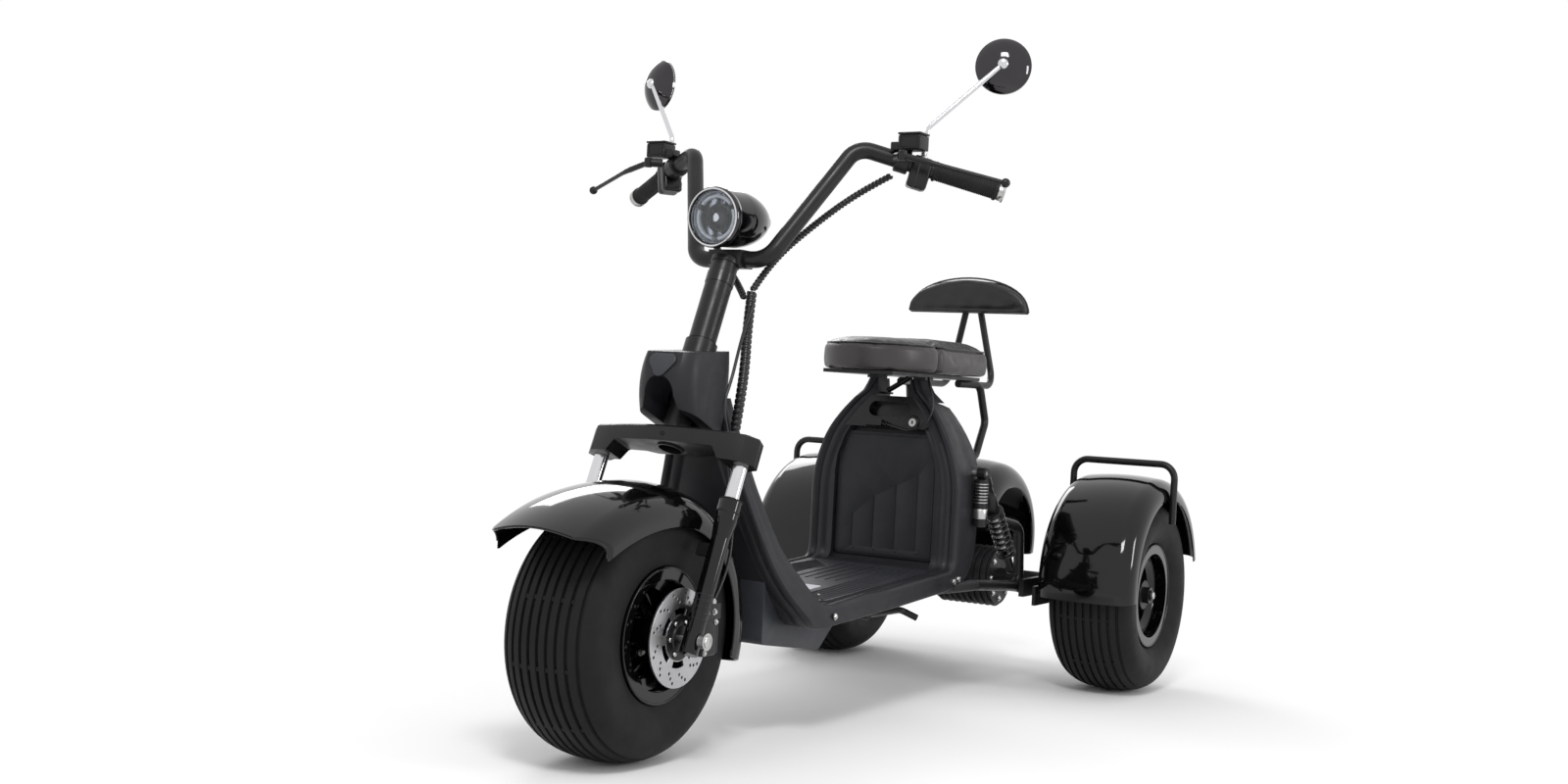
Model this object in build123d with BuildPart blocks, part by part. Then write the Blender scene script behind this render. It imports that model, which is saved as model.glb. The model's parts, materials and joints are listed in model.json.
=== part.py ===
from build123d import *
from math import asin, atan2, cos, degrees, radians, sin, sqrt, tan
import os

# Three-wheeled electric scooter. Millimetres, +Z up, +X the rider's left, the front faces -Y.
# The origin lies on the ground under the middle of the vehicle.

# ---- driving dimensions ----
wheelbase = 1450.0
tyre_radius = 227.5
tyre_half_width = 100.0
tyre_wall = 9.0
bead_radius = 101.6
flange_radius = 119.0
rim_wall = 4.0
front_rim_half = 94.0
rear_rim_half = 82.0
rear_track_half = 385.0
rake = 23.0
lock_angle = 35.0

fork_spread = 153.0
stanchion_radius = 13.5
lower_leg_radius = 16.5
leg_wall = 3.0
collar_radius = 21.0
crown_height = 372.0
crown_depth = 52.0
crown_middle = 31.0
stem_lead = 8.7
stem_radius = 25.0
upper_stem_radius = 26.0
stem_top = 716.0
bearing_gap = 0.05
head_tube_wall = 5.5

disc_radius = 85.5
disc_thickness = 4.0
disc_offset = 124.6

body_half_width = 185.0
floor_bottom = 212.0
floor_thickness = 38.0
shell_wall = 4.0
mat_thickness = 4.0

battery_half_width = 124.0
battery_front = 250.0
battery_depth = 140.0
battery_bottom = 300.0
battery_shoulder = 586.0
battery_top = 658.0
battery_top_half = 50.0

seat_height = 714.0
saddle_front = 58.0
seat_half = 132.0
seat_joint = 230.0
seat_end = 545.0
saddle_thickness = 76.0

fender_wall = 2.5
front_fender_radius = 262.0
front_fender_half = 118.0
rear_fender_radius = 256.0
rear_fender_half = 115.0
rear_fender_lift = 22.0

bar_radius = 16.0
grip_radius = 17.5
clearance = 0.5

# ---- places that follow from them ----
front_axle_y = -wheelbase / 2
rear_axle_y = wheelbase / 2
axle_z = tyre_radius
steer = Plane(
    origin=(0, front_axle_y, axle_z),
    x_dir=(1, 0, 0),
    z_dir=(0, sin(radians(rake)), cos(radians(rake))),
)
os.makedirs("parts", exist_ok=True)


def fork_point(x, v, w):
    """World point of a place given across, behind and up the steering axis."""
    return tuple(steer.from_local_coords(Vector(x, v, w)))


def rod(points, bend, radius, wall=0.0):
    """Round bar or tube along a line with rounded corners."""
    with BuildPart() as made:
        with BuildLine() as route:
            if len(points) > 2:
                FilletPolyline(*points, radius=bend)
            else:
                Line(*points)
        with BuildSketch(Plane(origin=route.line @ 0, z_dir=route.line % 0)):
            Circle(radius)
            if wall:
                Circle(radius - wall, mode=Mode.SUBTRACT)
        sweep()
    return made.part


def across(x0, x1, y, z, radius, bore=0.0):
    """Cylinder or ring whose axis lies along X."""
    with BuildPart() as made:
        with BuildSketch(Plane.YZ.offset(x0)):
            with Locations((y, z)):
                Circle(radius)
                if bore:
                    Circle(bore, mode=Mode.SUBTRACT)
        extrude(amount=x1 - x0)
    return made.part


def save(part, name):
    part.label = name
    export_step(part, f"parts/{name}.step")


# ---- wheels ----
def tyre_part(rim_half):
    """Balloon tyre about the X axis: crown, shoulders, sidewalls and bead toes."""
    shoulder = tyre_half_width * 0.80
    widest = (tyre_radius + flange_radius) / 2
    seat = bead_radius + clearance
    with BuildPart() as made:
        with BuildSketch(Plane.XY):
            with BuildLine():
                ThreePointArc((-shoulder, tyre_radius - 17), (0, tyre_radius), (shoulder, tyre_radius - 17))
                ThreePointArc(
                    (shoulder, tyre_radius - 17),
                    (tyre_half_width * 0.965, tyre_radius - 33),
                    (tyre_half_width, widest),
                )
                ThreePointArc(
                    (tyre_half_width, widest),
                    (tyre_half_width * 0.975, widest - 28),
                    (rim_half - rim_wall - clearance, flange_radius + 2),
                )
                Polyline(
                    (rim_half - rim_wall - clearance, flange_radius + 2),
                    (rim_half - rim_wall - clearance, seat),
                    (rim_half - rim_wall - clearance - 14, seat),
                    (tyre_half_width - tyre_wall - 9, widest),
                )
                ThreePointArc(
                    (tyre_half_width - tyre_wall - 9, widest),
                    (0, tyre_radius - tyre_wall - 4),
                    (-tyre_half_width + tyre_wall + 9, widest),
                )
                Polyline(
                    (-tyre_half_width + tyre_wall + 9, widest),
                    (-rim_half + rim_wall + clearance + 14, seat),
                    (-rim_half + rim_wall + clearance, seat),
                    (-rim_half + rim_wall + clearance, flange_radius + 2),
                )
                ThreePointArc(
                    (-rim_half + rim_wall + clearance, flange_radius + 2),
                    (-tyre_half_width * 0.975, widest - 28),
                    (-tyre_half_width, widest),
                )
                ThreePointArc(
                    (-tyre_half_width, widest),
                    (-tyre_half_width * 0.965, tyre_radius - 33),
                    (-shoulder, tyre_radius - 17),
                )
            make_face()
        revolve(axis=Axis.X)
    return made.part


def rim_part(rim_half, plate_at, hub_radius, hub_from, hub_to, bore):
    """Pressed steel rim about the X axis with its dished plate and hub."""
    well = bead_radius - 18
    with BuildPart() as made:
        with BuildSketch(Plane.XY):
            with BuildLine():
                Polyline(
                    (-rim_half, flange_radius),
                    (-rim_half + rim_wall, flange_radius),
                    (-rim_half + rim_wall, bead_radius),
                    (-rim_half + 30, bead_radius),
                    (-rim_half + 42, well),
                    (rim_half - 42, well),
                    (rim_half - 30, bead_radius),
                    (rim_half - rim_wall, bead_radius),
                    (rim_half - rim_wall, flange_radius),
                    (rim_half, flange_radius),
                    (rim_half, bead_radius - rim_wall),
                    (rim_half - 28, bead_radius - rim_wall),
                    (rim_half - 40, well - rim_wall),
                    (-rim_half + 40, well - rim_wall),
                    (-rim_half + 28, bead_radius - rim_wall),
                    (-rim_half, bead_radius - rim_wall),
                    close=True,
                )
            make_face()
        revolve(axis=Axis.X)
        with BuildSketch(Plane.YZ.offset(plate_at)):
            Circle(well - 1)
            Circle(bore, mode=Mode.SUBTRACT)
        extrude(amount=6)
        with BuildSketch(Plane.YZ.offset(hub_from)):
            Circle(hub_radius)
            Circle(bore, mode=Mode.SUBTRACT)
        extrude(amount=hub_to - hub_from)
    return made.part


axle_radius = 8.0
running_fit = 0.05
axle_bore = axle_radius + running_fit
rear_axle_radius = 12.0
disc_face = disc_offset - disc_thickness / 2
hub_left_end = disc_face - clearance
hub_right_end = -96.0

with BuildPart() as tyre_front:
    with Locations((0, front_axle_y, axle_z)):
        add(tyre_part(front_rim_half))
with BuildPart() as rim_front:
    with Locations((0, front_axle_y, axle_z)):
        add(rim_part(front_rim_half, 10, 30, hub_right_end, hub_left_end, axle_bore))
with BuildPart() as brake_disc:
    with BuildSketch(Plane.YZ.offset(disc_face)):
        with Locations((front_axle_y, axle_z)):
            Circle(disc_radius)
            Circle(axle_bore, mode=Mode.SUBTRACT)
            with PolarLocations(52, 6):
                Circle(11, mode=Mode.SUBTRACT)
    extrude(amount=disc_thickness)
save(tyre_front.part, "tyre_front")
save(rim_front.part, "rim_front")
save(brake_disc.part, "brake_disc")

rear_hub_out = 62.0
rear_hub_in = 60.0
for side, tag in ((1, "left"), (-1, "right")):
    with BuildPart() as tyre_rear:
        with Locations((side * rear_track_half, rear_axle_y, axle_z)):
            add(tyre_part(rear_rim_half))
    with BuildPart() as rim_rear:
        with Locations((0, rear_axle_y, axle_z)):
            add(rim_part(rear_rim_half, 14, 34, -rear_hub_in, rear_hub_out, rear_axle_radius + running_fit)
                .moved(Location((rear_track_half, 0, 0))))
        if side < 0:
            mirror(about=Plane.YZ, mode=Mode.REPLACE)
    save(tyre_rear.part, f"tyre_{tag}")
    save(rim_rear.part, f"rim_{tag}")

# ---- front fork ----
with BuildPart() as front_axle:
    add(across(-fork_spread - 26, fork_spread + 26, front_axle_y, axle_z, axle_radius))
    add(across(fork_spread + lower_leg_radius + clearance, fork_spread + 30, front_axle_y, axle_z, 12))
    add(across(-fork_spread - 30, -fork_spread - lower_leg_radius - clearance, front_axle_y, axle_z, 12))
save(front_axle.part, "front_axle")

collar_low = 218.0
collar_high = 252.0
with BuildPart() as fork_tubes:
    with BuildSketch(steer.offset(collar_low - 60)):
        with Locations((fork_spread, 0), (-fork_spread, 0)):
            Circle(stanchion_radius)
            Circle(stanchion_radius - leg_wall, mode=Mode.SUBTRACT)
    extrude(amount=crown_height - crown_depth - collar_low + 60 + 28)
save(fork_tubes.part, "fork_tubes")

with BuildPart() as fork_lowers:
    for x in (fork_spread, -fork_spread):
        with BuildSketch(steer.offset(-26)):
            with Locations((x, 0)):
                Circle(lower_leg_radius)
        extrude(amount=collar_low + 26)
        with BuildSketch(steer.offset(collar_low - 34)):
            with Locations((x, 0)):
                Circle(lower_leg_radius)
        with BuildSketch(steer.offset(collar_low)):
            with Locations((x, 0)):
                Circle(collar_radius)
        loft()
        with BuildSketch(steer.offset(collar_low)):
            with Locations((x, 0)):
                Circle(collar_radius)
        extrude(amount=collar_high - collar_low)
    with BuildSketch(steer.offset(collar_low - 62)):
        with Locations((fork_spread, 0), (-fork_spread, 0)):
            Circle(stanchion_radius + 0.05)
    extrude(amount=collar_high - collar_low + 70, mode=Mode.SUBTRACT)
    add(across(-fork_spread - 40, fork_spread + 40, front_axle_y, axle_z, axle_radius + 0.05), mode=Mode.SUBTRACT)
save(fork_lowers.part, "fork_lowers")

crown_half = 182.0
crown_bevel = 4.0
crown_bottom = crown_height - crown_depth
crown_arch = crown_height - crown_middle
arch_half = fork_spread - 38
with BuildPart() as fork_crown:
    with BuildSketch(steer.offset(crown_bottom)):
        with BuildLine():
            back = Polyline((crown_half - 28, 26), (-crown_half + 28, 26))
            Polyline(back @ 1, (-crown_half + 6, 18), (-crown_half, -4), (-crown_half + 20, -26))
            ThreePointArc((-crown_half + 20, -26), (0, -46), (crown_half - 20, -26))
            Polyline((crown_half - 20, -26), (crown_half, -4), (crown_half - 6, 18), back @ 0)
        make_face()
    extrude(amount=crown_depth - crown_bevel)
    extrude(faces().sort_by(Axis(steer.origin, steer.z_dir))[-1], amount=crown_bevel, taper=40)
    with BuildSketch(Plane(origin=steer.origin, x_dir=(1, 0, 0), z_dir=-steer.y_dir).offset(-70)):
        with BuildLine():
            FilletPolyline(
                (-arch_half - 6, crown_bottom - 10),
                (-arch_half - 6, crown_bottom),
                (-arch_half + 8, crown_arch),
                (arch_half - 8, crown_arch),
                (arch_half + 6, crown_bottom),
                (arch_half + 6, crown_bottom - 10),
                radius=(1, 9, 9, 1),
            )
            Line((arch_half + 6, crown_bottom - 10), (-arch_half - 6, crown_bottom - 10))
        make_face()
    extrude(amount=140, mode=Mode.SUBTRACT)
    with BuildSketch(steer.offset(crown_bottom)):
        with Locations((fork_spread, 0), (-fork_spread, 0)):
            Circle(stanchion_radius + 0.05)
    extrude(amount=28.5, mode=Mode.SUBTRACT)
    with BuildSketch(steer.offset(crown_bottom)):
        with Locations((0, -stem_lead)):
            Circle(stem_radius + 0.05)
    extrude(amount=crown_depth, mode=Mode.SUBTRACT)
    # The back is relieved beside the stem, so that it clears the shield at full lock.
    for side in (1, -1):
        with BuildSketch(steer.offset(crown_bottom - 1)):
            with BuildLine():
                Polyline(
                    (side * (stem_radius + 20), 27),
                    (side * (stem_radius + 44), 16),
                    (side * (crown_half - 48), 16),
                    (side * (crown_half - 30), 27),
                    close=True,
                )
            make_face()
        extrude(amount=crown_depth + 2, mode=Mode.SUBTRACT)
save(fork_crown.part, "fork_crown")

with BuildPart() as steering_stem:
    with BuildSketch(steer.offset(crown_arch - 3)):
        with Locations((0, -stem_lead)):
            Circle(stem_radius)
            Circle(stem_radius - 3, mode=Mode.SUBTRACT)
    extrude(amount=560 - crown_arch + 3)
    with BuildSketch(steer.offset(556)):
        with Locations((0, -stem_lead)):
            Circle(upper_stem_radius)
    extrude(amount=stem_top - 556)
save(steering_stem.part, "steering_stem")

head_tube_low = 440.0
head_tube_high = 552.0
with BuildPart() as head_tube:
    with BuildSketch(steer.offset(head_tube_low)):
        with Locations((0, -stem_lead)):
            Circle(stem_radius + bearing_gap + head_tube_wall)
            Circle(stem_radius + bearing_gap, mode=Mode.SUBTRACT)
    extrude(amount=head_tube_high - head_tube_low)
save(head_tube.part, "head_tube")

# ---- fenders ----
def arch(radius, half, skirt, corner, crown, start, sweep_angle, wall):
    """Open-bottomed fender band about the X axis, crowned across. Angles run from the top towards the front."""
    edge = half - corner
    shoulder = radius - crown + sqrt((crown - corner) ** 2 - edge**2)
    join_x = edge * crown / (crown - corner)
    join_y = radius - crown + sqrt(crown**2 - join_x**2)
    inner_x = join_x * (crown - wall) / crown
    inner_y = radius - crown + sqrt((crown - wall) ** 2 - inner_x**2)
    with BuildPart() as made:
        with BuildSketch(Plane.XZ):
            with BuildLine():
                Line((-half, radius - skirt), (-half, shoulder))
                RadiusArc((-half, shoulder), (-join_x, join_y), corner)
                ThreePointArc((-join_x, join_y), (0, radius), (join_x, join_y))
                RadiusArc((join_x, join_y), (half, shoulder), corner)
                Line((half, shoulder), (half, radius - skirt))
                Line((half, radius - skirt), (half - wall, radius - skirt))
                Line((half - wall, radius - skirt), (half - wall, shoulder))
                RadiusArc((half - wall, shoulder), (inner_x, inner_y), wall - corner)
                ThreePointArc((inner_x, inner_y), (0, radius - wall), (-inner_x, inner_y))
                RadiusArc((-inner_x, inner_y), (wall - half, shoulder), wall - corner)
                Line((wall - half, shoulder), (wall - half, radius - skirt))
                Line((wall - half, radius - skirt), (-half, radius - skirt))
            make_face()
        revolve(axis=Axis.X, revolution_arc=sweep_angle)
    return made.part.rotate(Axis.X, start)


nose_radius = 508.0
rear_reach = rear_fender_radius + 2
nose_angle = degrees(asin(rear_reach / nose_radius))
front_skirt = 72.0
# Lower edge of the front fender's sides, back from and up from the axle.
front_fender_edge = [
    (-290, 222),
    (-207, 202),
    (-124, 176),
    (-62, 188),
    (-10, 200),
    (44, 203),
    (100, 186),
    (171, 145),
    (217, 84),
    (231, 12),
    (229, -78),
]
front_corner = 48.0
front_crown = 260.0
rear_crown = 600.0
bill_radius = 96.0
with BuildPart() as front_fender:
    with Locations((0, front_axle_y, axle_z)):
        add(arch(front_fender_radius, front_fender_half, front_skirt, front_corner, front_crown, -106, 106, fender_wall))
    with Locations((0, front_axle_y, axle_z + front_fender_radius - nose_radius)):
        add(arch(nose_radius, front_fender_half, front_skirt, front_corner, front_crown, 0, nose_angle, fender_wall))
    with BuildSketch(Plane.YZ.offset(-front_fender_half - 10)):
        with Locations((front_axle_y, axle_z)):
            with BuildLine():
                edge = Spline(*front_fender_edge)
                Polyline(edge @ 1, (229, -160), (-290, -160), edge @ 0)
            make_face()
    extrude(amount=2 * front_fender_half + 20, mode=Mode.SUBTRACT)
    with BuildSketch(Plane.XY.offset(60)):
        with BuildLine():
            reach = front_axle_y - rear_reach - 14
            FilletPolyline(
                (front_fender_half + 1, front_axle_y + 300),
                (front_fender_half + 1, reach),
                (-front_fender_half - 1, reach),
                (-front_fender_half - 1, front_axle_y + 300),
                radius=(0, bill_radius, bill_radius, 0),
                close=True,
            )
        make_face()
    extrude(amount=600, mode=Mode.INTERSECT)
save(front_fender.part, "front_fender")

rear_fender_middle = rear_track_half
with BuildPart() as rear_fender_left:
    with Locations((rear_fender_middle, rear_axle_y, axle_z + rear_fender_lift)):
        add(arch(rear_fender_radius, rear_fender_half, 52, 42, rear_crown, -76, 172, fender_wall + 0.5))
save(Compound(children=[rear_fender_left.part, mirror(rear_fender_left.part, about=Plane.YZ)]), "rear_fenders")

centre_radius = 194.0
centre_half = 108.0
centre_lift = 96.0


# ---- body shell ----
# Side outline: down the front of the shield, along the underside, up behind the riser and back inside.
floor_top = floor_bottom + floor_thickness
floor_rise = 36.0
shield_line = [
    (-524, 640),
    (-492, 480),
    (-446, 300),
    (-362, floor_bottom),
    (-20, floor_bottom + 18),
    (338, floor_bottom + 42),
    (352, 530),
    (318, 700),
    (266, 700),
    (240, 580),
    (240, floor_top + floor_rise),
    (-318, floor_top),
    (-404, 355),
    (-444, 470),
    (-488, 640),
]
shield_bends = [0, 300, 200, 70, 600, 120, 240, 0, 0, 200, 34, 74, 150, 300, 0]


def ribbon(inset):
    """Side outline of shield, floor and riser, drawn in the YZ plane."""
    with BuildSketch(Plane.YZ.offset(-body_half_width - 20)) as made:
        with BuildLine():
            FilletPolyline(*shield_line, radius=shield_bends, close=True)
        make_face()
        if inset:
            offset(amount=-inset, kind=Kind.INTERSECTION)
    return made.sketch


def front_outline(inset):
    """Front view of the leg shield with half of the floor."""
    with BuildSketch(Plane.XZ.offset(-700)) as made:
        with BuildLine():
            w = body_half_width - inset
            Polyline((0, 150), (w, 150), (w, 236))
            ThreePointArc((w, 236), (103 - inset, 450), (50 - inset, 660))
            Polyline((50 - inset, 660), (0, 660), (0, 150))
        make_face()
        mirror(about=Plane.YZ)
    return made.sketch


def rear_outline(inset):
    """Front view of the seat riser with half of the floor."""
    with BuildSketch(Plane.XZ.offset(-700)) as made:
        with BuildLine():
            w = body_half_width - inset
            Polyline((0, 150), (w, 150), (w, 462))
            ThreePointArc((w, 462), (145 - inset, 590), (74 - inset, 674))
            Polyline((74 - inset, 674), (60 - inset, 712), (0, 712), (0, 150))
        make_face()
        mirror(about=Plane.YZ)
    return made.sketch


floor_split = -100.0


def body_form(inset):
    with BuildPart() as front:
        extrude(ribbon(inset), amount=2 * body_half_width + 40)
        extrude(front_outline(inset), amount=1400, mode=Mode.INTERSECT)
        split(bisect_by=Plane.XZ.offset(-floor_split), keep=Keep.TOP)
    with BuildPart() as rear:
        extrude(ribbon(inset), amount=2 * body_half_width + 40)
        extrude(rear_outline(inset), amount=1400, mode=Mode.INTERSECT)
        split(bisect_by=Plane.XZ.offset(-floor_split), keep=Keep.BOTTOM)
    return front.part, rear.part


top_plane = Plane(origin=(0, 241, battery_shoulder + 4), x_dir=(1, 0, 0), z_dir=(0, -120, 26))


def battery_top_outline(grow):
    with BuildSketch(top_plane.offset(-26 if not grow else 10)) as made:
        with BuildLine():
            Polyline(
                (-battery_half_width + 6 - grow, -grow),
                (battery_half_width - 6 + grow, -grow),
                (battery_top_half + grow, battery_top - battery_shoulder + grow),
                (-battery_top_half - grow, battery_top - battery_shoulder + grow),
                close=True,
            )
        make_face()
    return made.sketch


outer_front, outer_rear = body_form(0)
inner_front, inner_rear = body_form(shell_wall)
# Open arch between the two rails, above the battery and under the seat.
arch_gap_half = 40.0
arch_gap_low = battery_top + 6
with BuildPart() as rear_cavity:
    add(inner_rear)
    with Locations((0, 290, arch_gap_low - shell_wall + 50)):
        Box(2 * (arch_gap_half + shell_wall), 200, 100, mode=Mode.SUBTRACT)
with BuildPart() as body_shell:
    add(outer_front)
    add(outer_rear)
    add(inner_front, mode=Mode.SUBTRACT)
    add(rear_cavity.part, mode=Mode.SUBTRACT)
    with Locations((0, 290, arch_gap_low + 50)):
        Box(2 * arch_gap_half, 200, 100, mode=Mode.SUBTRACT)
    with Locations((0, 20, floor_bottom - 6)):
        Box(2 * body_half_width - 60, 500, 40, mode=Mode.SUBTRACT)
    with Locations((0, battery_front, (battery_bottom + battery_shoulder) / 2)):
        Box(
            2 * battery_half_width + 2,
            60,
            battery_shoulder - battery_bottom + 2,
            mode=Mode.SUBTRACT,
        )
with BuildPart() as body_with_pocket:
    add(body_shell.part)
    extrude(battery_top_outline(0.5), amount=-38, mode=Mode.SUBTRACT)
save(body_with_pocket.part, "body_shell")

# ---- centre fender over the motor ----
with BuildPart() as centre_fender:
    with Locations((0, rear_axle_y - 6, axle_z + centre_lift)):
        add(arch(centre_radius, centre_half, 62, 52, 320, -104, 152, fender_wall))
    with Locations((0, 450, axle_z + centre_lift + 176)):
        Box(70, 230, 4)
    add(outer_rear, mode=Mode.SUBTRACT)
save(centre_fender.part.solids().sort_by(SortBy.VOLUME)[-1], "centre_fender")

# ---- neck cover and its bare plate ----
neck_low = 392.0
neck_high = 548.0
snout_reach = 104.0
neck_top = 718.0
mouth_radius = 31.0
plate_plane = Plane(origin=fork_point(0, -snout_reach, 462), x_dir=(1, 0, 0), z_dir=(0, -0.92, 0.39))
with BuildPart() as neck_cover:
    for level, half, front, rear in (
        (neck_low, 62, -78, 74),
        ((neck_low + neck_high) / 2, 61, -110, 62),
        (neck_high, 52, -96, 44),
    ):
        with BuildSketch(steer.offset(level)):
            with Locations((0, (front + rear) / 2)):
                RectangleRounded(2 * half, rear - front, 46)
    loft()
    with BuildSketch(Plane(origin=(0, -640, neck_top), x_dir=(1, 0, 0), z_dir=(0, -0.06, 1))):
        Rectangle(300, 500)
    extrude(amount=100, mode=Mode.SUBTRACT)
    with BuildSketch(plate_plane):
        Rectangle(300, 400)
    extrude(amount=120, mode=Mode.SUBTRACT)
    with BuildSketch(Plane(origin=fork_point(0, -160, neck_low), x_dir=(-1, 0, 0), z_dir=steer.y_dir)):
        with BuildLine():
            RadiusArc((-mouth_radius, 20), (mouth_radius, 20), mouth_radius)
            FilletPolyline(
                (mouth_radius, 20),
                (mouth_radius + 22, -40),
                (-mouth_radius - 22, -40),
                (-mouth_radius, 20),
                radius=1,
            )
        make_face()
    extrude(amount=160 + 12, mode=Mode.SUBTRACT)
    with BuildSketch(steer.offset(neck_low - 20)):
        with Locations((0, -stem_lead)):
            Circle(stem_radius + bearing_gap + head_tube_wall + 0.05)
    extrude(amount=neck_high - neck_low + 60, mode=Mode.SUBTRACT)
    add(outer_front, mode=Mode.SUBTRACT)
save(neck_cover.part.solids().sort_by(SortBy.VOLUME)[-1], "neck_cover")

with BuildPart() as badge_plate:
    with BuildSketch(plate_plane.offset(0.1)):
        with BuildLine():
            FilletPolyline((-40, 22), (40, 22), (0, -32), radius=(12, 12, 14), close=True)
        make_face()
    extrude(amount=4)
save(badge_plate.part, "badge_plate")

# ---- floor mat, foot plate and belly pan ----
floor_slope = atan2(floor_rise, 558)
floor_plane = Plane(
    origin=(0, -318, floor_bottom + floor_thickness),
    x_dir=(1, 0, 0),
    z_dir=(0, -sin(floor_slope), cos(floor_slope)),
)
mat_start = 50.0
mat_length = 464.0
plate_place = 160.0
with BuildPart() as floor_mat:
    with BuildSketch(floor_plane):
        with Locations((0, mat_start + mat_length / 2)):
            RectangleRounded(2 * body_half_width - 70, mat_length, 24)
    extrude(amount=mat_thickness)
    with BuildSketch(floor_plane.offset(mat_thickness)):
        with Locations((0, plate_place)):
            RectangleRounded(121, 81, 10)
    extrude(amount=-mat_thickness, mode=Mode.SUBTRACT)
save(floor_mat.part, "floor_mat")
with BuildPart() as foot_plate:
    with BuildSketch(floor_plane):
        with Locations((0, plate_place)):
            RectangleRounded(120, 80, 9.5)
    extrude(amount=mat_thickness + 0.5)
save(foot_plate.part, "foot_plate")

pan_half = 118.0
pan_wall = 3.0
with BuildPart() as belly_pan:
    for inset in (0, pan_wall):
        with BuildSketch(Plane.YZ.offset(-pan_half + inset)):
            with BuildLine():
                FilletPolyline(
                    (-440 + inset, 330),
                    (-440 + inset, 186 + inset),
                    (-226 - inset / 2, 155 + inset),
                    (-130 - inset, floor_bottom + 20),
                    (-130 - inset, 330),
                    radius=(0, 12, 20, 0, 0),
                    close=True,
                )
            make_face()
        extrude(amount=2 * (pan_half - inset), mode=Mode.SUBTRACT if inset else Mode.ADD)
    add(outer_front, mode=Mode.SUBTRACT)
    add(outer_rear, mode=Mode.SUBTRACT)
save(belly_pan.part.solids().sort_by(SortBy.VOLUME)[-1], "belly_pan")

# ---- battery ----
groove_bottom = battery_bottom + 18
groove_places = [-80, -27, 27, 80]
groove_tops = [392, 436, 462, 488]
with BuildPart() as battery_case:
    with BuildSketch(Plane.YZ.offset(-battery_half_width)):
        with BuildLine():
            Polyline(
                (battery_front, battery_bottom),
                (264, battery_bottom),
                (294, 330),
                (320, 400),
                (328, 440),
                (328, battery_shoulder - 8),
                (battery_front, battery_shoulder - 8),
                close=True,
            )
        make_face()
    extrude(amount=2 * battery_half_width)
    with BuildSketch(Plane.XZ.offset(-400)):
        with BuildLine():
            FilletPolyline(
                (-battery_half_width, battery_bottom),
                (battery_half_width, battery_bottom),
                (battery_half_width, battery_shoulder - 34),
                (battery_half_width - 24, battery_shoulder - 8),
                (24 - battery_half_width, battery_shoulder - 8),
                (-battery_half_width, battery_shoulder - 34),
                radius=(12, 12, 8, 8, 8, 8),
                close=True,
            )
        make_face()
    extrude(amount=200, mode=Mode.INTERSECT)
    for x, top in zip(groove_places, groove_tops):
        with BuildSketch(Plane.XZ.offset(-battery_front)):
            with Locations((x, (groove_bottom + top) / 2)):
                SlotOverall(top - groove_bottom, 4, rotation=90)
        extrude(amount=-1.5, mode=Mode.SUBTRACT)
save(battery_case.part, "battery_case")

with BuildPart() as battery_top_part:
    extrude(battery_top_outline(0), amount=26)
    with BuildSketch(top_plane):
        with Locations((0, 42)):
            SlotOverall(104, 34)
    extrude(amount=-22, mode=Mode.SUBTRACT)
save(battery_top_part.part, "battery_top")
with BuildPart() as key_lock:
    with BuildSketch(top_plane):
        with Locations((62, 14)):
            Circle(9)
    extrude(amount=3)
save(key_lock.part, "key_lock")
# ---- seats ----
with BuildPart() as saddle:
    with BuildSketch(Plane.XY.offset(seat_height)):
        with Locations((0, seat_joint - 1)):
            Ellipse(seat_half, seat_joint - 1 - saddle_front)
        with Locations((0, seat_joint - 1 + seat_half)):
            Rectangle(2 * seat_half + 20, 2 * seat_half, mode=Mode.SUBTRACT)
    extrude(amount=saddle_thickness)
    fillet(saddle.faces().sort_by(Axis.Z)[-1].edges().sort_by(Axis.Y)[:-1], 22)
save(saddle.part, "saddle")
with BuildPart() as rear_seat:
    with BuildSketch(Plane.XY.offset(seat_height)):
        with BuildLine():
            front_edge = Line((-seat_half, seat_joint + 1), (seat_half, seat_joint + 1))
            right_edge = Line(front_edge @ 1, (seat_half - 12, seat_end - 54))
            tail = ThreePointArc(right_edge @ 1, (0, seat_end), (12 - seat_half, seat_end - 54))
            Line(tail @ 1, front_edge @ 0)
        make_face()
    extrude(amount=saddle_thickness + 4)
    fillet(rear_seat.faces().sort_by(Axis.Z)[-1].edges().sort_by(Axis.Y)[1:], 22)
save(rear_seat.part, "rear_seat")
base_drop = 8.5
rail_top = 700.0
post_height = seat_height - base_drop - rail_top
strut_back = 550.0
with BuildPart() as seat_struts:
    for side in (1, -1):
        add(
            rod(
                [
                    (side * 74, seat_end - 105, seat_height - 17),
                    (side * 92, seat_end - 23, seat_height - 17),
                    (side * 98, strut_back, 610),
                    (side * 104, strut_back - 56, 535),
                    (side * 110, 356, 470),
                ],
                24,
                9,
            )
        )
        with Locations((side * 110, 354, 470)):
            Box(24, 8, 40)
    with Locations((0, (80 + seat_end) / 2, seat_height - base_drop / 2 - 0.25)):
        Box(170, seat_end - 100, base_drop - 0.5)
    with Locations((58, 292, rail_top + post_height / 2), (-58, 292, rail_top + post_height / 2)):
        Box(30, 40, post_height)
    add(outer_rear, mode=Mode.SUBTRACT)
    with Locations((-28, 290, arch_gap_low + 2.5)):
        Box(20, 14, 5)
    add(rod([(-28, 290, arch_gap_low + 8), (26, 296, seat_height - base_drop + 0.5)], 0, 6))
save(seat_struts.part, "seat_support")

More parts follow.
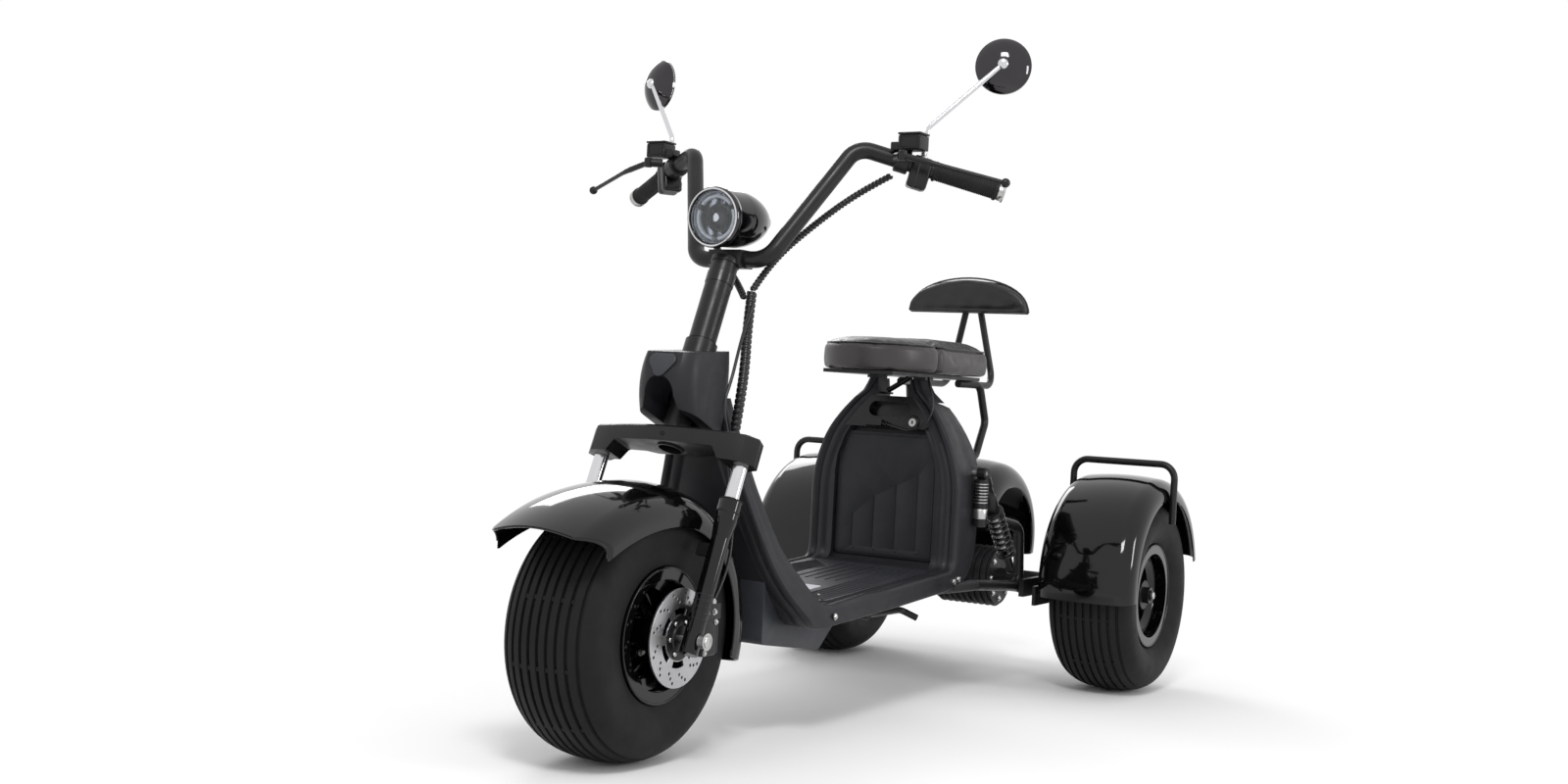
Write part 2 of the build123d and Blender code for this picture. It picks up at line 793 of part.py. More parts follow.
back_y = 633.0
with BuildPart() as backrest_pad:
    with BuildSketch(Plane.XZ.offset(-back_y - 18)):
        with BuildLine():
            Line((-160, 871), (160, 871))
            ThreePointArc((160, 871), (0, 960), (-160, 871))
        make_face()
    extrude(amount=36)
save(backrest_pad.part, "backrest_pad")
with BuildPart() as backrest_frame:
    for side in (1, -1):
        add(rod([(side * 60, seat_end - 60, seat_height - 17), (side * 60, back_y + 36, seat_height - 17), (side * 12, back_y + 30, 910)], 40, 8))
    with Locations((0, back_y + 22, 900)):
        Box(120, 8, 40)
save(backrest_frame.part, "backrest_frame")

# ---- rear axle, arms and lower loop ----
with BuildPart() as rear_axle:
    add(across(-rear_track_half + rear_hub_in + 6, rear_track_half - rear_hub_in - 6, rear_axle_y, axle_z, 27))
    add(across(-rear_track_half - rear_hub_out - 20, rear_track_half + rear_hub_out + 20, rear_axle_y, axle_z, rear_axle_radius))
    for side in (1, -1):
        x = rear_track_half + rear_hub_out
        add(across(min(side * (x + 2), side * (x + 16)), max(side * (x + 2), side * (x + 16)), rear_axle_y, axle_z, 19))
save(rear_axle.part, "rear_axle")
with BuildPart() as drive_motor:
    add(across(-70, 80, rear_axle_y, axle_z + 6, 68))
    with Locations((-40, rear_axle_y - 70, axle_z + 16)):
        Box(90, 110, 96)
    add(across(-90, 100, rear_axle_y, axle_z, 27.05), mode=Mode.SUBTRACT)
save(drive_motor.part, "drive_motor")
with BuildPart() as rear_frame:
    for side in (1, -1):
        add(rod([(side * 140, 120, 246), (side * 196, 330, 252), (side * 200, 560, 234), (side * 200, 545, 372), (side * 120, 362, 420)], 26, 12))
        with Locations((side * 120, 354, 420)):
            Box(30, 8, 40)
    add(outer_rear, mode=Mode.SUBTRACT)

# ---- shock absorbers ----
with BuildPart() as shock_absorbers:
    for side in (1, -1):
        top = Vector(side * 202, 322, 500)
        low = Vector(side * 202, 505, 278)
        run = (low - top).normalized()
        with BuildSketch(Plane(origin=top, z_dir=run)):
            Circle(9)
        extrude(amount=(low - top).length)
        with BuildSketch(Plane(origin=top + run * 110, z_dir=run)):
            Circle(22)
        extrude(amount=130)
        with BuildSketch(Plane(origin=top + run * 6, z_dir=run)):
            Circle(15)
        extrude(amount=30)
        add(rod([tuple(top + Vector(0, -4, -12)), tuple(top + Vector(0, -2, -118))], 0, 16))
        add(across(min(side * 172, side * 212), max(side * 172, side * 212), 322, 500, 8))
        with Locations((side * 174, 336, 500)):
            Box(8, 44, 30)
    add(outer_rear, mode=Mode.SUBTRACT)
    add(rear_frame.part, mode=Mode.SUBTRACT)
save(shock_absorbers.part, "shock_absorbers")

# ---- fender brackets and hoops ----
hoop_half = rear_fender_half + 8.2
hoop_top = axle_z + rear_fender_lift + rear_fender_radius + 30
with BuildPart() as fender_hoop_left:
    x = rear_fender_middle
    add(rod([(x - hoop_half, rear_axle_y - 10, 420), (x - hoop_half, rear_axle_y - 10, hoop_top), (x + hoop_half, rear_axle_y - 10, hoop_top), (x + hoop_half, rear_axle_y - 10, 398)], 34, 8))
save(Compound(children=[fender_hoop_left.part, mirror(fender_hoop_left.part, about=Plane.YZ)]), "fender_hoops")
with BuildPart() as fender_brackets:
    for side in (1, -1):
        x = side * (rear_fender_middle - rear_fender_half - 6)
        with Locations((x, rear_axle_y - 10, 330)):
            Box(8, 46, 250)
        with Locations((x, rear_axle_y - 120, 222)):
            Box(8, 210, 44)
    add(across(-400, 400, rear_axle_y, axle_z, 27.05), mode=Mode.SUBTRACT)
    add(fender_hoop_left.part, mode=Mode.SUBTRACT)
    add(mirror(fender_hoop_left.part, about=Plane.YZ, mode=Mode.PRIVATE), mode=Mode.SUBTRACT)
save(fender_brackets.part, "fender_brackets")
with BuildPart() as rear_arms:
    for side in (1, -1):
        with Locations((side * 222, (555 + rear_axle_y) / 2, 234)):
            Box(12, rear_axle_y - 555 + 60, 40)
        with Locations((side * 214, 552, 234)):
            Box(14, 30, 24)
    add(across(-400, 400, rear_axle_y, axle_z, 27.05), mode=Mode.SUBTRACT)
    add(rear_frame.part, mode=Mode.SUBTRACT)
    add(rear_frame.part)
save(rear_arms.part, "rear_frame")

# ---- side stand ----
stand_pivot = Vector(120, -40, 214)
stand_length = 178.0
with BuildPart() as side_stand:
    add(across(112, 128, stand_pivot.Y, stand_pivot.Z - 6, 10))
    add(rod([(120, -40, 208), (120, stand_length - 60, 206), (150, stand_length - 40, 190)], 20, 7))
save(side_stand.part, "side_stand")

# ---- handlebar and its carrier ----
bar_low = 902.0
bar_low_y = -432.0
bar_points = [
    (419, -161, 1060),
    (186, -300, 1130),
    (80, bar_low_y, bar_low),
    (-80, bar_low_y, bar_low),
    (-186, -300, 1130),
    (-419, -161, 1060),
]
with BuildPart() as handlebar:
    add(rod(bar_points, 42, bar_radius, 2.5))
save(handlebar.part, "handlebar")
with BuildPart() as bar_clamp:
    with BuildSketch(steer.offset(stem_top)):
        with Locations((0, -stem_lead)):
            Circle(upper_stem_radius + 2)
    extrude(amount=10)
    with Locations((0, bar_low_y - 2, bar_low)):
        Box(72, 44, 34)
    add(across(-60, 60, bar_low_y, bar_low, bar_radius + 0.05), mode=Mode.SUBTRACT)
    with BuildSketch(steer.offset(stem_top - 80)):
        with Locations((0, -stem_lead)):
            Circle(80)
    extrude(amount=80, mode=Mode.SUBTRACT)
save(bar_clamp.part.solids().sort_by(SortBy.VOLUME)[-1], "bar_clamp")

# ---- headlight ----
lamp = Plane(origin=(0, -493, 975), x_dir=(1, 0, 0), z_dir=(0, 1, 0.05))
lamp_radius = 57.5
lamp_length = 168.0
with BuildPart() as headlight_shell:
    for inset, mode in ((0, Mode.ADD), (2.5, Mode.SUBTRACT)):
        with BuildSketch(Plane.XZ):
            with BuildLine():
                Line((0, 0), (lamp_radius - 3 - inset, 0))
                Line((lamp_radius - 3 - inset, 0), (lamp_radius - 3 - inset, 50))
                ThreePointArc(
                    (lamp_radius - 3 - inset, 50),
                    (lamp_radius * 0.74 - inset, 120 - inset / 2),
                    (14, lamp_length - inset),
                )
                Line((14, lamp_length - inset), (0, lamp_length - inset))
                Line((0, lamp_length - inset), (0, 0))
            make_face()
        revolve(axis=Axis.Z, mode=mode)
headlight_shell_placed = lamp.location * headlight_shell.part
save(headlight_shell_placed, "headlight_shell")
with BuildPart() as headlight_bezel:
    with BuildSketch(lamp.offset(-12)):
        Circle(lamp_radius)
        Circle(lamp_radius - 8, mode=Mode.SUBTRACT)
    extrude(amount=12 - 0.02)
save(headlight_bezel.part, "headlight_bezel")
with BuildPart() as headlight_lens:
    with BuildSketch(lamp.offset(-8)):
        Circle(lamp_radius - 8.2)
    extrude(amount=7.5)
save(headlight_lens.part, "headlight_lens")

# ---- grips, levers, control housings, mirrors ----
grip_start = Vector(*bar_points[1])
grip_end = Vector(*bar_points[0])
grip_run = (grip_end - grip_start).normalized()


def both(shape):
    return [shape, mirror(shape, about=Plane.YZ, mode=Mode.PRIVATE)]


grip_length = 128.0
with BuildPart() as grip_one:
    with BuildSketch(Plane(origin=grip_end - grip_run * grip_length, z_dir=grip_run)):
        Circle(grip_radius)
        Circle(bar_radius + 0.05, mode=Mode.SUBTRACT)
    extrude(amount=grip_length)
    with BuildSketch(Plane(origin=grip_end + grip_run * 0.1, z_dir=grip_run)):
        Circle(grip_radius)
    extrude(amount=14)
save(Compound(children=both(grip_one.part)), "grips")

pod_at = grip_end - grip_run * (grip_length + 24)
pod_plane = Plane(origin=pod_at, z_dir=grip_run, x_dir=(0, 0, 1))
with BuildPart() as pod_one:
    with BuildSketch(pod_plane.offset(-20)):
        with Locations((-12.5, 0)):
            RectangleRounded(63, 42, 8)
        Circle(bar_radius + 0.05, mode=Mode.SUBTRACT)
    extrude(amount=40)
save(Compound(children=both(pod_one.part)), "switch_housings")
perch_at = pod_at - grip_run * 38
tank_at = perch_at + grip_run * 36 + Vector(0, -34, 42)
perch_plane = Plane(origin=perch_at, z_dir=grip_run, x_dir=(0, 0, 1))
with BuildPart() as perch_one:
    with BuildSketch(perch_plane.offset(-14)):
        Circle(23)
        Circle(bar_radius + 0.05, mode=Mode.SUBTRACT)
    extrude(amount=28)
    with Locations(Location((tank_at.X, tank_at.Y, tank_at.Z))):
        Box(48, 40, 34)
    with Locations(Location((tank_at.X - 26, tank_at.Y - 2, tank_at.Z - 8))):
        Box(30, 30, 16)
    add(rod([tuple(perch_at + Vector(8, -40, 2)), tuple(perch_at + Vector(26, -56, 2))], 0, 9))
    add(rod([tuple(bar_points[0]), tuple(bar_points[1])], 0, bar_radius + 0.05), mode=Mode.SUBTRACT)
lever_tip = Vector(475, -252, 1063)
with BuildPart() as lever_one:
    start = perch_at + Vector(30, -58, 2)
    add(rod([tuple(start), tuple(start + (lever_tip - start) * 0.35 + Vector(0, -12, 0)), tuple(lever_tip)], 40, 6))
    with Locations(lever_tip):
        Sphere(9)
    add(perch_one.part)
save(Compound(children=both(lever_one.part)), "brake_levers")

mirror_at = Vector(402, -127, 1304)
mirror_face = Vector(-0.40, 1, -0.05).normalized()
mirror_radius = 54.0
mirror_plane = Plane(origin=mirror_at, x_dir=mirror_face.cross(Vector(0, 0, 1)), z_dir=mirror_face)
with BuildPart() as mirror_dome:
    with BuildSketch(Plane.XZ):
        with BuildLine():
            Line((0, 0), (mirror_radius, 0))
            Line((mirror_radius, 0), (mirror_radius, -6))
            ThreePointArc((mirror_radius, -6), (mirror_radius * 0.62, -22), (8, -28))
            Line((8, -28), (0, -28))
            Line((0, -28), (0, 0))
        make_face()
    revolve(axis=Axis.Z)
    with BuildSketch(Plane.XY):
        Circle(mirror_radius - 4)
    extrude(amount=-3, mode=Mode.SUBTRACT)
mirror_head = mirror_plane.location * mirror_dome.part
save(Compound(children=both(mirror_head)), "mirror_heads")
with BuildPart() as mirror_glass_one:
    with BuildSketch(Plane(origin=mirror_at - mirror_face * 2.95, z_dir=mirror_face)):
        Circle(mirror_radius - 4.1)
    extrude(amount=2.5)
save(Compound(children=both(mirror_glass_one.part)), "mirror_glasses")
with BuildPart() as mirror_stem_one:
    foot = pod_at + Vector(0, 6, 14)
    add(rod([tuple(foot), (foot.X + 4, foot.Y + 4, foot.Z + 62), tuple(mirror_at - mirror_face * 24)], 18, 5))
    add(mirror_head, mode=Mode.SUBTRACT)
    add(perch_one.part, mode=Mode.SUBTRACT)
    add(pod_one.part, mode=Mode.SUBTRACT)
save(Compound(children=both(mirror_stem_one.part.solids().sort_by(SortBy.VOLUME)[-1])), "mirror_stems")

# ---- brake caliper and fender stays ----
with BuildPart() as brake_caliper:
    with Locations((disc_offset, front_axle_y + 72, axle_z - 4)):
        Box(34, 44, 66)
    with Locations((disc_offset, front_axle_y + 50, axle_z)):
        Box(disc_thickness + 3, 110, 240, mode=Mode.SUBTRACT)
    with Locations((disc_offset, front_axle_y + 96, axle_z - 4)):
        Box(34, 8, 66)
    with Locations((disc_offset + 14, front_axle_y + 60, axle_z + 40)):
        Box(8, 90, 30)
    add(fork_lowers.part, mode=Mode.SUBTRACT)
save(brake_caliper.part, "brake_caliper")
with BuildPart() as fender_stays:
    for side in (1, -1):
        with BuildSketch(steer.offset(150)):
            with Locations((side * 126, 0)):
                Rectangle(24, 12)
        extrude(amount=22)
    add(front_fender.part, mode=Mode.SUBTRACT)
    add(fork_lowers.part, mode=Mode.SUBTRACT)
save(fender_stays.part, "fender_stays")

# ---- wiring and brake hose ----
def cord(points, radii, radius, name):
    with BuildPart() as made:
        with BuildLine() as route:
            FilletPolyline(*points, radius=radii)
        with BuildSketch(Plane(origin=route.line @ 0, z_dir=route.line % 0)):
            Circle(radius)
        sweep()
    length = route.wires()[0].length
    print(name, "length", round(length, 1), "volume ratio", round(made.part.volume / (length * 3.14159265 * radius**2), 4))
    return made.part


branch_radius = 6.5
loom_radius = 10.0
hose_radius = 3.0
left_branch = [(232, -244, 1082), (172, -262, 1048), (112, -330, 975), (66, -394, 902), (50, -428, 846)]
right_branch = [(-232, -244, 1082), (-172, -268, 1046), (-112, -338, 975), (-56, -388, 910), (-4, -404, 866), (30, -428, 832)]
with BuildPart() as wiring_branches:
    add(cord(left_branch, 30, branch_radius, "left branch"))
    add(cord(right_branch, 26, branch_radius, "right branch"))
save(wiring_branches.part, "wiring_branches")
main_loom = [(49, -430, 840), (57, -452, 772), (73, -478, 702), (84, -505, 640), (78, -508, 584)]
save(cord(main_loom, 60, loom_radius, "main loom"), "wiring_loom")
hose = [
    (136, -640, 286),
    (140, -604, 330),
    fork_point(128, 63, 236),
    fork_point(114, 38, 300),
    fork_point(98, 20, 378),
    fork_point(93, -20, 425),
    fork_point(92, -14, 480),
    fork_point(85, -8, 535),
    fork_point(74, 6, 590),
    fork_point(62, 26, 648),
]
save(cord(hose, 25, hose_radius, "brake hose"), "brake_hose")

# ---- battery plug and its lead ----
def top_point(x, up, out):
    """World point of a place on the battery top's sloping face."""
    return tuple(top_plane.from_local_coords(Vector(x, up, out)))


plug_right = -8.0
lead_radius = 2.5
with BuildPart() as battery_plug:
    with BuildSketch(top_plane.offset(0.02)):
        with Locations((plug_right - 22, 8)):
            RectangleRounded(44, 15, 3)
    extrude(amount=15)
save(battery_plug.part, "battery_plug")
lead = [
    top_point(plug_right + 0.1, 8, 8),
    top_point(22, 2, 10),
    top_point(62, -8, 14),
    top_point(98, 4, 13),
    top_point(113, 36, 12),
    top_point(108, 72, 12),
    top_point(94, 94, 9),
    (84, 266, seat_height - 8.7),
]
save(cord(lead, 12, lead_radius, "battery lead"), "battery_lead")
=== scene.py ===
import json
from math import cos, pi, radians, sin, sqrt

import bmesh
import bpy
from mathutils import Matrix, Vector
from mathutils.bvhtree import BVHTree


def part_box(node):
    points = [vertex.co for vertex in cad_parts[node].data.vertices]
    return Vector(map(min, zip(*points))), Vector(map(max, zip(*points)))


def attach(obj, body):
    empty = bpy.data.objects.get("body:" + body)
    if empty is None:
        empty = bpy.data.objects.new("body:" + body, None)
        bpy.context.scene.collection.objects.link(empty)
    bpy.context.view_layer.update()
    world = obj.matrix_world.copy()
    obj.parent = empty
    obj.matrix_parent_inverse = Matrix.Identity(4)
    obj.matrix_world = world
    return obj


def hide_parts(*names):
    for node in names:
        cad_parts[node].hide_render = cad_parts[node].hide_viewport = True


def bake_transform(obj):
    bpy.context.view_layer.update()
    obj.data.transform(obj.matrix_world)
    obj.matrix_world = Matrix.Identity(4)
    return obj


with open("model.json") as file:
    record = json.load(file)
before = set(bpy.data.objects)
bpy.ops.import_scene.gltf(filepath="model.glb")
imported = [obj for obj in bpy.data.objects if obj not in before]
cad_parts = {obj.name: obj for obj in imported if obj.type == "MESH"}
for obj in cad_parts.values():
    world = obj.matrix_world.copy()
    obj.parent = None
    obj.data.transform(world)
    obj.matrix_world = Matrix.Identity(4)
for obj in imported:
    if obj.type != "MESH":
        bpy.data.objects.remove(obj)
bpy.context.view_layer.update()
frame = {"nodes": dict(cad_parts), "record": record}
nodes = frame["nodes"]
scene = bpy.context.scene
scene.view_settings.view_transform = "Standard"


# Places that several pieces share, in metres.
AXLE_HEIGHT = 0.2275
REAR_Y = 0.725
REAR_WHEEL_X = 0.385
AXLE = Vector((0, -REAR_Y, AXLE_HEIGHT))
REAR_WHEELS = ((1, "rear_wheel_left"), (-1, "rear_wheel_right"))
RAKE = radians(23)
SEAM_HEIGHT = 0.772


def linked(name, data):
    """New object that holds the data, linked to the scene."""
    made = bpy.data.objects.new(name, data)
    scene.collection.objects.link(made)
    return made


# ---------------------------------------------------------------- camera, floor and light
def aim_camera():
    """Camera at the photograph's viewing angle, level with the seat, from the rider's front left."""
    yaw, pitch, roll = radians(31.035), radians(0.064), radians(-3.078)
    forward = Vector((-sin(yaw) * cos(pitch), cos(yaw) * cos(pitch), -sin(pitch)))
    right = Vector((cos(yaw), sin(yaw), 0))
    down = forward.cross(right)
    across = cos(roll) * right + sin(roll) * down
    below = -sin(roll) * right + cos(roll) * down
    data = bpy.data.cameras.new("camera")
    data.sensor_width = 36
    data.lens = 39.28
    data.clip_end = 100
    camera = linked("camera", data)
    turn = Matrix((across, -below, -forward)).transposed().to_4x4()
    camera.matrix_world = Matrix.Translation((1.7675, -3.1497, 0.6605)) @ turn
    scene.camera = camera


def area_light(name, place, target, size, power):
    data = bpy.data.lights.new(name, "AREA")
    data.shape = "RECTANGLE"
    data.size, data.size_y = size
    data.energy = power
    lamp = linked(name, data)
    lamp.location = place
    lamp.rotation_euler = (Vector(target) - Vector(place)).to_track_quat("-Z", "Y").to_euler()


def background(tree, strength):
    node = tree.nodes.new("ShaderNodeBackground")
    node.inputs["Color"].default_value = (1, 1, 1, 1)
    node.inputs["Strength"].default_value = strength
    return node.outputs[0]


def studio():
    world = bpy.data.worlds.new("studio")
    scene.world = world
    world.use_nodes = True
    tree = world.node_tree
    tree.nodes.clear()
    room, white = background(tree, 0.8), background(tree, 1.0)
    out = tree.nodes.new("ShaderNodeOutputWorld")
    tree.links.new(mixed(tree, backdrop_rays(tree), room, white), out.inputs[0])
    area_light("key", (1.4, -2.6, 3.4), (0, 0, 0.4), (0.9, 0.9), 60)
    area_light("side", (4.2, 0.6, 1.6), (0, 0, 0.5), (0.5, 1.4), 34)
    area_light("rim", (-2.6, 2.4, 2.6), (0, 0, 0.5), (2.0, 1.2), 40)
    verts = [(-40, -40, 0), (40, -40, 0), (40, 40, 0), (-40, 40, 0)]
    floor = new_mesh("floor", verts, [(0, 1, 2, 3)], smooth=False)
    paint(floor, floor_white())


# ---------------------------------------------------------------- materials
def shader(name):
    material = bpy.data.materials.new(name)
    material.use_nodes = True
    tree = material.node_tree
    return material, tree, tree.nodes["Principled BSDF"]


def mixed(tree, factor, first, second):
    """Shader between the first, where the factor is 0, and the second, where it is 1."""
    node = tree.nodes.new("ShaderNodeMixShader")
    for source, entry in zip((factor, first, second), node.inputs):
        tree.links.new(source, entry)
    return node.outputs[0]


def calculated(tree, operation, first, second):
    node = tree.nodes.new("ShaderNodeMath")
    node.operation = operation
    tree.links.new(first, node.inputs[0])
    tree.links.new(second, node.inputs[1])
    return node.outputs[0]


def backdrop_rays(tree):
    """1 for camera, transmission and glossy rays, which see the white backdrop, and 0 for the others."""
    rays = tree.nodes.new("ShaderNodeLightPath").outputs
    seen = calculated(tree, "MAXIMUM", rays["Is Camera Ray"], rays["Is Transmission Ray"])
    return calculated(tree, "MAXIMUM", seen, rays["Is Glossy Ray"])


def surface_of(tree, shaded):
    tree.links.new(shaded, tree.nodes["Material Output"].inputs["Surface"])


def noise(tree, scale, detail=3.0):
    """Noise in the object's own coordinates, which are the row frame's metres."""
    place = tree.nodes.new("ShaderNodeTexCoord")
    node = tree.nodes.new("ShaderNodeTexNoise")
    node.inputs["Scale"].default_value = scale
    node.inputs["Detail"].default_value = detail
    node.inputs["Roughness"].default_value = 0.5
    tree.links.new(place.outputs["Object"], node.inputs["Vector"])
    return node.outputs["Fac"]


def spread(tree, source, low, high, out_low, out_high):
    node = tree.nodes.new("ShaderNodeMapRange")
    node.inputs["From Min"].default_value = low
    node.inputs["From Max"].default_value = high
    node.inputs["To Min"].default_value = out_low
    node.inputs["To Max"].default_value = out_high
    tree.links.new(source, node.inputs["Value"])
    return node.outputs["Result"]


def tint(tree, factor, first, second):
    node = tree.nodes.new("ShaderNodeMix")
    node.data_type = "RGBA"
    node.inputs["A"].default_value = (*first, 1)
    node.inputs["B"].default_value = (*second, 1)
    tree.links.new(factor, node.inputs["Factor"])
    return node.outputs["Result"]


def bump(tree, height, strength, distance, under=None):
    node = tree.nodes.new("ShaderNodeBump")
    node.inputs["Strength"].default_value = strength
    node.inputs["Distance"].default_value = distance
    tree.links.new(height, node.inputs["Height"])
    if under:
        tree.links.new(under, node.inputs["Normal"])
    return node.outputs["Normal"]


def finish_of(
    name, base, rough, metal=0.0, coat=0.0, grain=900, grain_depth=0.00005,
    vary=0.25, rough_vary=0.06, coat_rough=0.05, specular=0.5,
):
    """A surface with soft colour drift, uneven gloss and a fine grain."""
    material, tree, bsdf = shader(name)
    drift = noise(tree, 9, 4)
    dark = tuple(c * (1 - vary) for c in base)
    light = tuple(min(1, c * (1 + vary)) for c in base)
    tree.links.new(tint(tree, spread(tree, drift, 0.3, 0.7, 0, 1), dark, light), bsdf.inputs["Base Color"])
    smear = noise(tree, 34, 5)
    tree.links.new(
        spread(tree, smear, 0.3, 0.7, max(0.02, rough - rough_vary), rough + rough_vary),
        bsdf.inputs["Roughness"]
    )
    tree.links.new(bump(tree, noise(tree, grain, 2), 0.4, grain_depth), bsdf.inputs["Normal"])
    bsdf.inputs["Metallic"].default_value = metal
    bsdf.inputs["Coat Weight"].default_value = coat
    bsdf.inputs["Coat Roughness"].default_value = coat_rough
    bsdf.inputs["Specular IOR Level"].default_value = specular
    return material


def floor_white():
    """Near the vehicle a white floor that takes its shadow; further out a plain white backdrop."""
    material, tree, bsdf = shader("floor_white")
    tree.links.new(
        tint(tree, noise(tree, 2, 2), (0.93, 0.93, 0.93), (0.95, 0.95, 0.95)), bsdf.inputs["Base Color"]
    )
    bsdf.inputs["Roughness"].default_value = 0.8
    bsdf.inputs["Specular IOR Level"].default_value = 0.1
    place = tree.nodes.new("ShaderNodeTexCoord")
    reach = tree.nodes.new("ShaderNodeVectorMath")
    reach.operation = "LENGTH"
    tree.links.new(place.outputs["Object"], reach.inputs[0])
    away = spread(tree, reach.outputs["Value"], 1.0, 1.9, 0, 1)
    far = calculated(tree, "MULTIPLY", away, backdrop_rays(tree))
    glow = tree.nodes.new("ShaderNodeEmission")
    glow.inputs["Strength"].default_value = 1.0
    surface_of(tree, mixed(tree, far, bsdf.outputs[0], glow.outputs[0]))
    return material


def leather():
    """Grained leather with painted light: a lighter grey painted sheen on the band around the seats' sides,
    and painted shade that makes the top above the piping darker.
    """
    material, tree, bsdf = shader("seat_leather")
    cell = tree.nodes.new("ShaderNodeTexVoronoi")
    place = tree.nodes.new("ShaderNodeTexCoord")
    cell.inputs["Scale"].default_value = 620
    tree.links.new(place.outputs["Object"], cell.inputs["Vector"])
    height = tree.nodes.new("ShaderNodeSeparateXYZ")
    tree.links.new(place.outputs["Object"], height.inputs[0])
    # Mask for the painted light: 0 below the piping, where the sides get a painted sheen, and 1 above it,
    # where the top gets painted shade.
    upper = spread(tree, height.outputs["Z"], SEAM_HEIGHT - 0.001, SEAM_HEIGHT + 0.001, 0, 1)
    drift = noise(tree, 14, 4)
    # The side colour is lightened for a painted sheen, and the top colour is darkened for painted shade.
    side = tint(tree, drift, (0.030, 0.026, 0.026), (0.052, 0.046, 0.046))
    top = tint(tree, drift, (0.011, 0.010, 0.010), (0.019, 0.017, 0.017))
    # Colour with the painted sheen on the sides and the painted shade on top.
    painted_sheen_and_shade = tree.nodes.new("ShaderNodeMix")
    painted_sheen_and_shade.data_type = "RGBA"
    tree.links.new(upper, painted_sheen_and_shade.inputs["Factor"])
    tree.links.new(side, painted_sheen_and_shade.inputs["A"])
    tree.links.new(top, painted_sheen_and_shade.inputs["B"])
    tree.links.new(painted_sheen_and_shade.outputs["Result"], bsdf.inputs["Base Color"])
    tree.links.new(spread(tree, noise(tree, 40, 5), 0.3, 0.7, 0.34, 0.46), bsdf.inputs["Roughness"])
    fold = bump(tree, noise(tree, 26, 3), 0.3, 0.0012)
    tree.links.new(bump(tree, cell.outputs["Distance"], 0.3, 0.0002, fold), bsdf.inputs["Normal"])
    bsdf.inputs["Specular IOR Level"].default_value = 0.4
    return material


def glass(name, colour):
    """Thin clear cover that lets light straight through and mirrors a little."""
    material, tree, bsdf = shader(name)
    clear = tree.nodes.new("ShaderNodeBsdfTransparent")
    clear.inputs["Color"].default_value = (*colour, 1)
    tree.links.new(tint(tree, noise(tree, 30, 3), (0.9, 0.9, 0.9), (1, 1, 1)), bsdf.inputs["Base Color"])
    bsdf.inputs["Roughness"].default_value = 0.03
    bsdf.inputs["Metallic"].default_value = 1.0
    edge = tree.nodes.new("ShaderNodeFresnel")
    edge.inputs["IOR"].default_value = 1.45
    surface_of(tree, mixed(tree, edge.outputs[0], clear.outputs[0], bsdf.outputs[0]))
    return material


FINISHES = {
    "tyre_rubber": dict(
        base=(0.010, 0.010, 0.011), rough=0.62, grain=500, grain_depth=0.0001, vary=0.2, specular=0.16
    ),
    "gloss_black": dict(
        base=(0.002, 0.002, 0.0022), rough=0.09, coat=0.4, coat_rough=0.03, grain=60, grain_depth=0.00002,
        rough_vary=0.03, specular=0.2
    ),
    "satin_black": dict(
        base=(0.009, 0.009, 0.010), rough=0.34, grain=1400, grain_depth=0.00004, specular=0.3
    ),
    "body_plastic": dict(
        base=(0.015, 0.0155, 0.018), rough=0.44, grain=1500, grain_depth=0.00006, specular=0.26
    ),
    "grey_panel": dict(
        base=(0.034, 0.036, 0.042), rough=0.42, grain=1500, grain_depth=0.00005, specular=0.35
    ),
    "gloss_plastic": dict(
        base=(0.006, 0.006, 0.007), rough=0.26, grain=700, grain_depth=0.00003, specular=0.35
    ),
    "mat_rubber": dict(base=(0.022, 0.023, 0.027), rough=0.5, grain=1200, grain_depth=0.00008, specular=0.3),
    "grip_rubber": dict(base=(0.008, 0.008, 0.009), rough=0.6, grain=1100, grain_depth=0.0001, specular=0.25),
    "loom_sleeve": dict(
        base=(0.006, 0.006, 0.007), rough=0.33, grain=900, grain_depth=0.00005, specular=0.45
    ),
    "bright_chrome": dict(
        base=(0.66, 0.66, 0.68), rough=0.09, metal=1.0, grain=50, grain_depth=0.00001, vary=0.03,
        rough_vary=0.03
    ),
    "dark_chrome": dict(
        base=(0.06, 0.057, 0.06), rough=0.08, metal=1.0, grain=50, grain_depth=0.00001, vary=0.1,
        rough_vary=0.03, specular=0.4
    ),
    "brushed_disc": dict(
        base=(0.46, 0.46, 0.47), rough=0.32, metal=1.0, grain=400, grain_depth=0.00004, vary=0.08
    ),
    "zinc": dict(base=(0.5, 0.5, 0.49), rough=0.3, metal=1.0, grain=500, grain_depth=0.00004, vary=0.1),
    "cast_aluminium": dict(
        base=(0.03, 0.03, 0.032), rough=0.5, metal=0.5, grain=500, grain_depth=0.0002, vary=0.2,
        specular=0.3
    ),
    "plate_aluminium": dict(
        base=(0.42, 0.43, 0.46), rough=0.45, metal=0.4, grain=900, grain_depth=0.00005, vary=0.05
    ),
    "mirror_silver": dict(
        base=(0.9, 0.9, 0.9), rough=0.03, metal=1.0, grain=20, grain_depth=0.000001, vary=0.01,
        rough_vary=0.01
    ),
}
SLOTS = {name: finish_of(name, **look) for name, look in FINISHES.items()}
SLOTS["seat_leather"] = leather()
SLOTS["lens_glass"] = glass("lens_glass", (0.95, 0.97, 1.0))
HALO = finish_of("halo_white", (0.82, 0.85, 0.88), 0.3, grain=300, vary=0.03)
slot_of = {s["node"]: s["material_slot"] for s in frame["record"]["subparts"]}


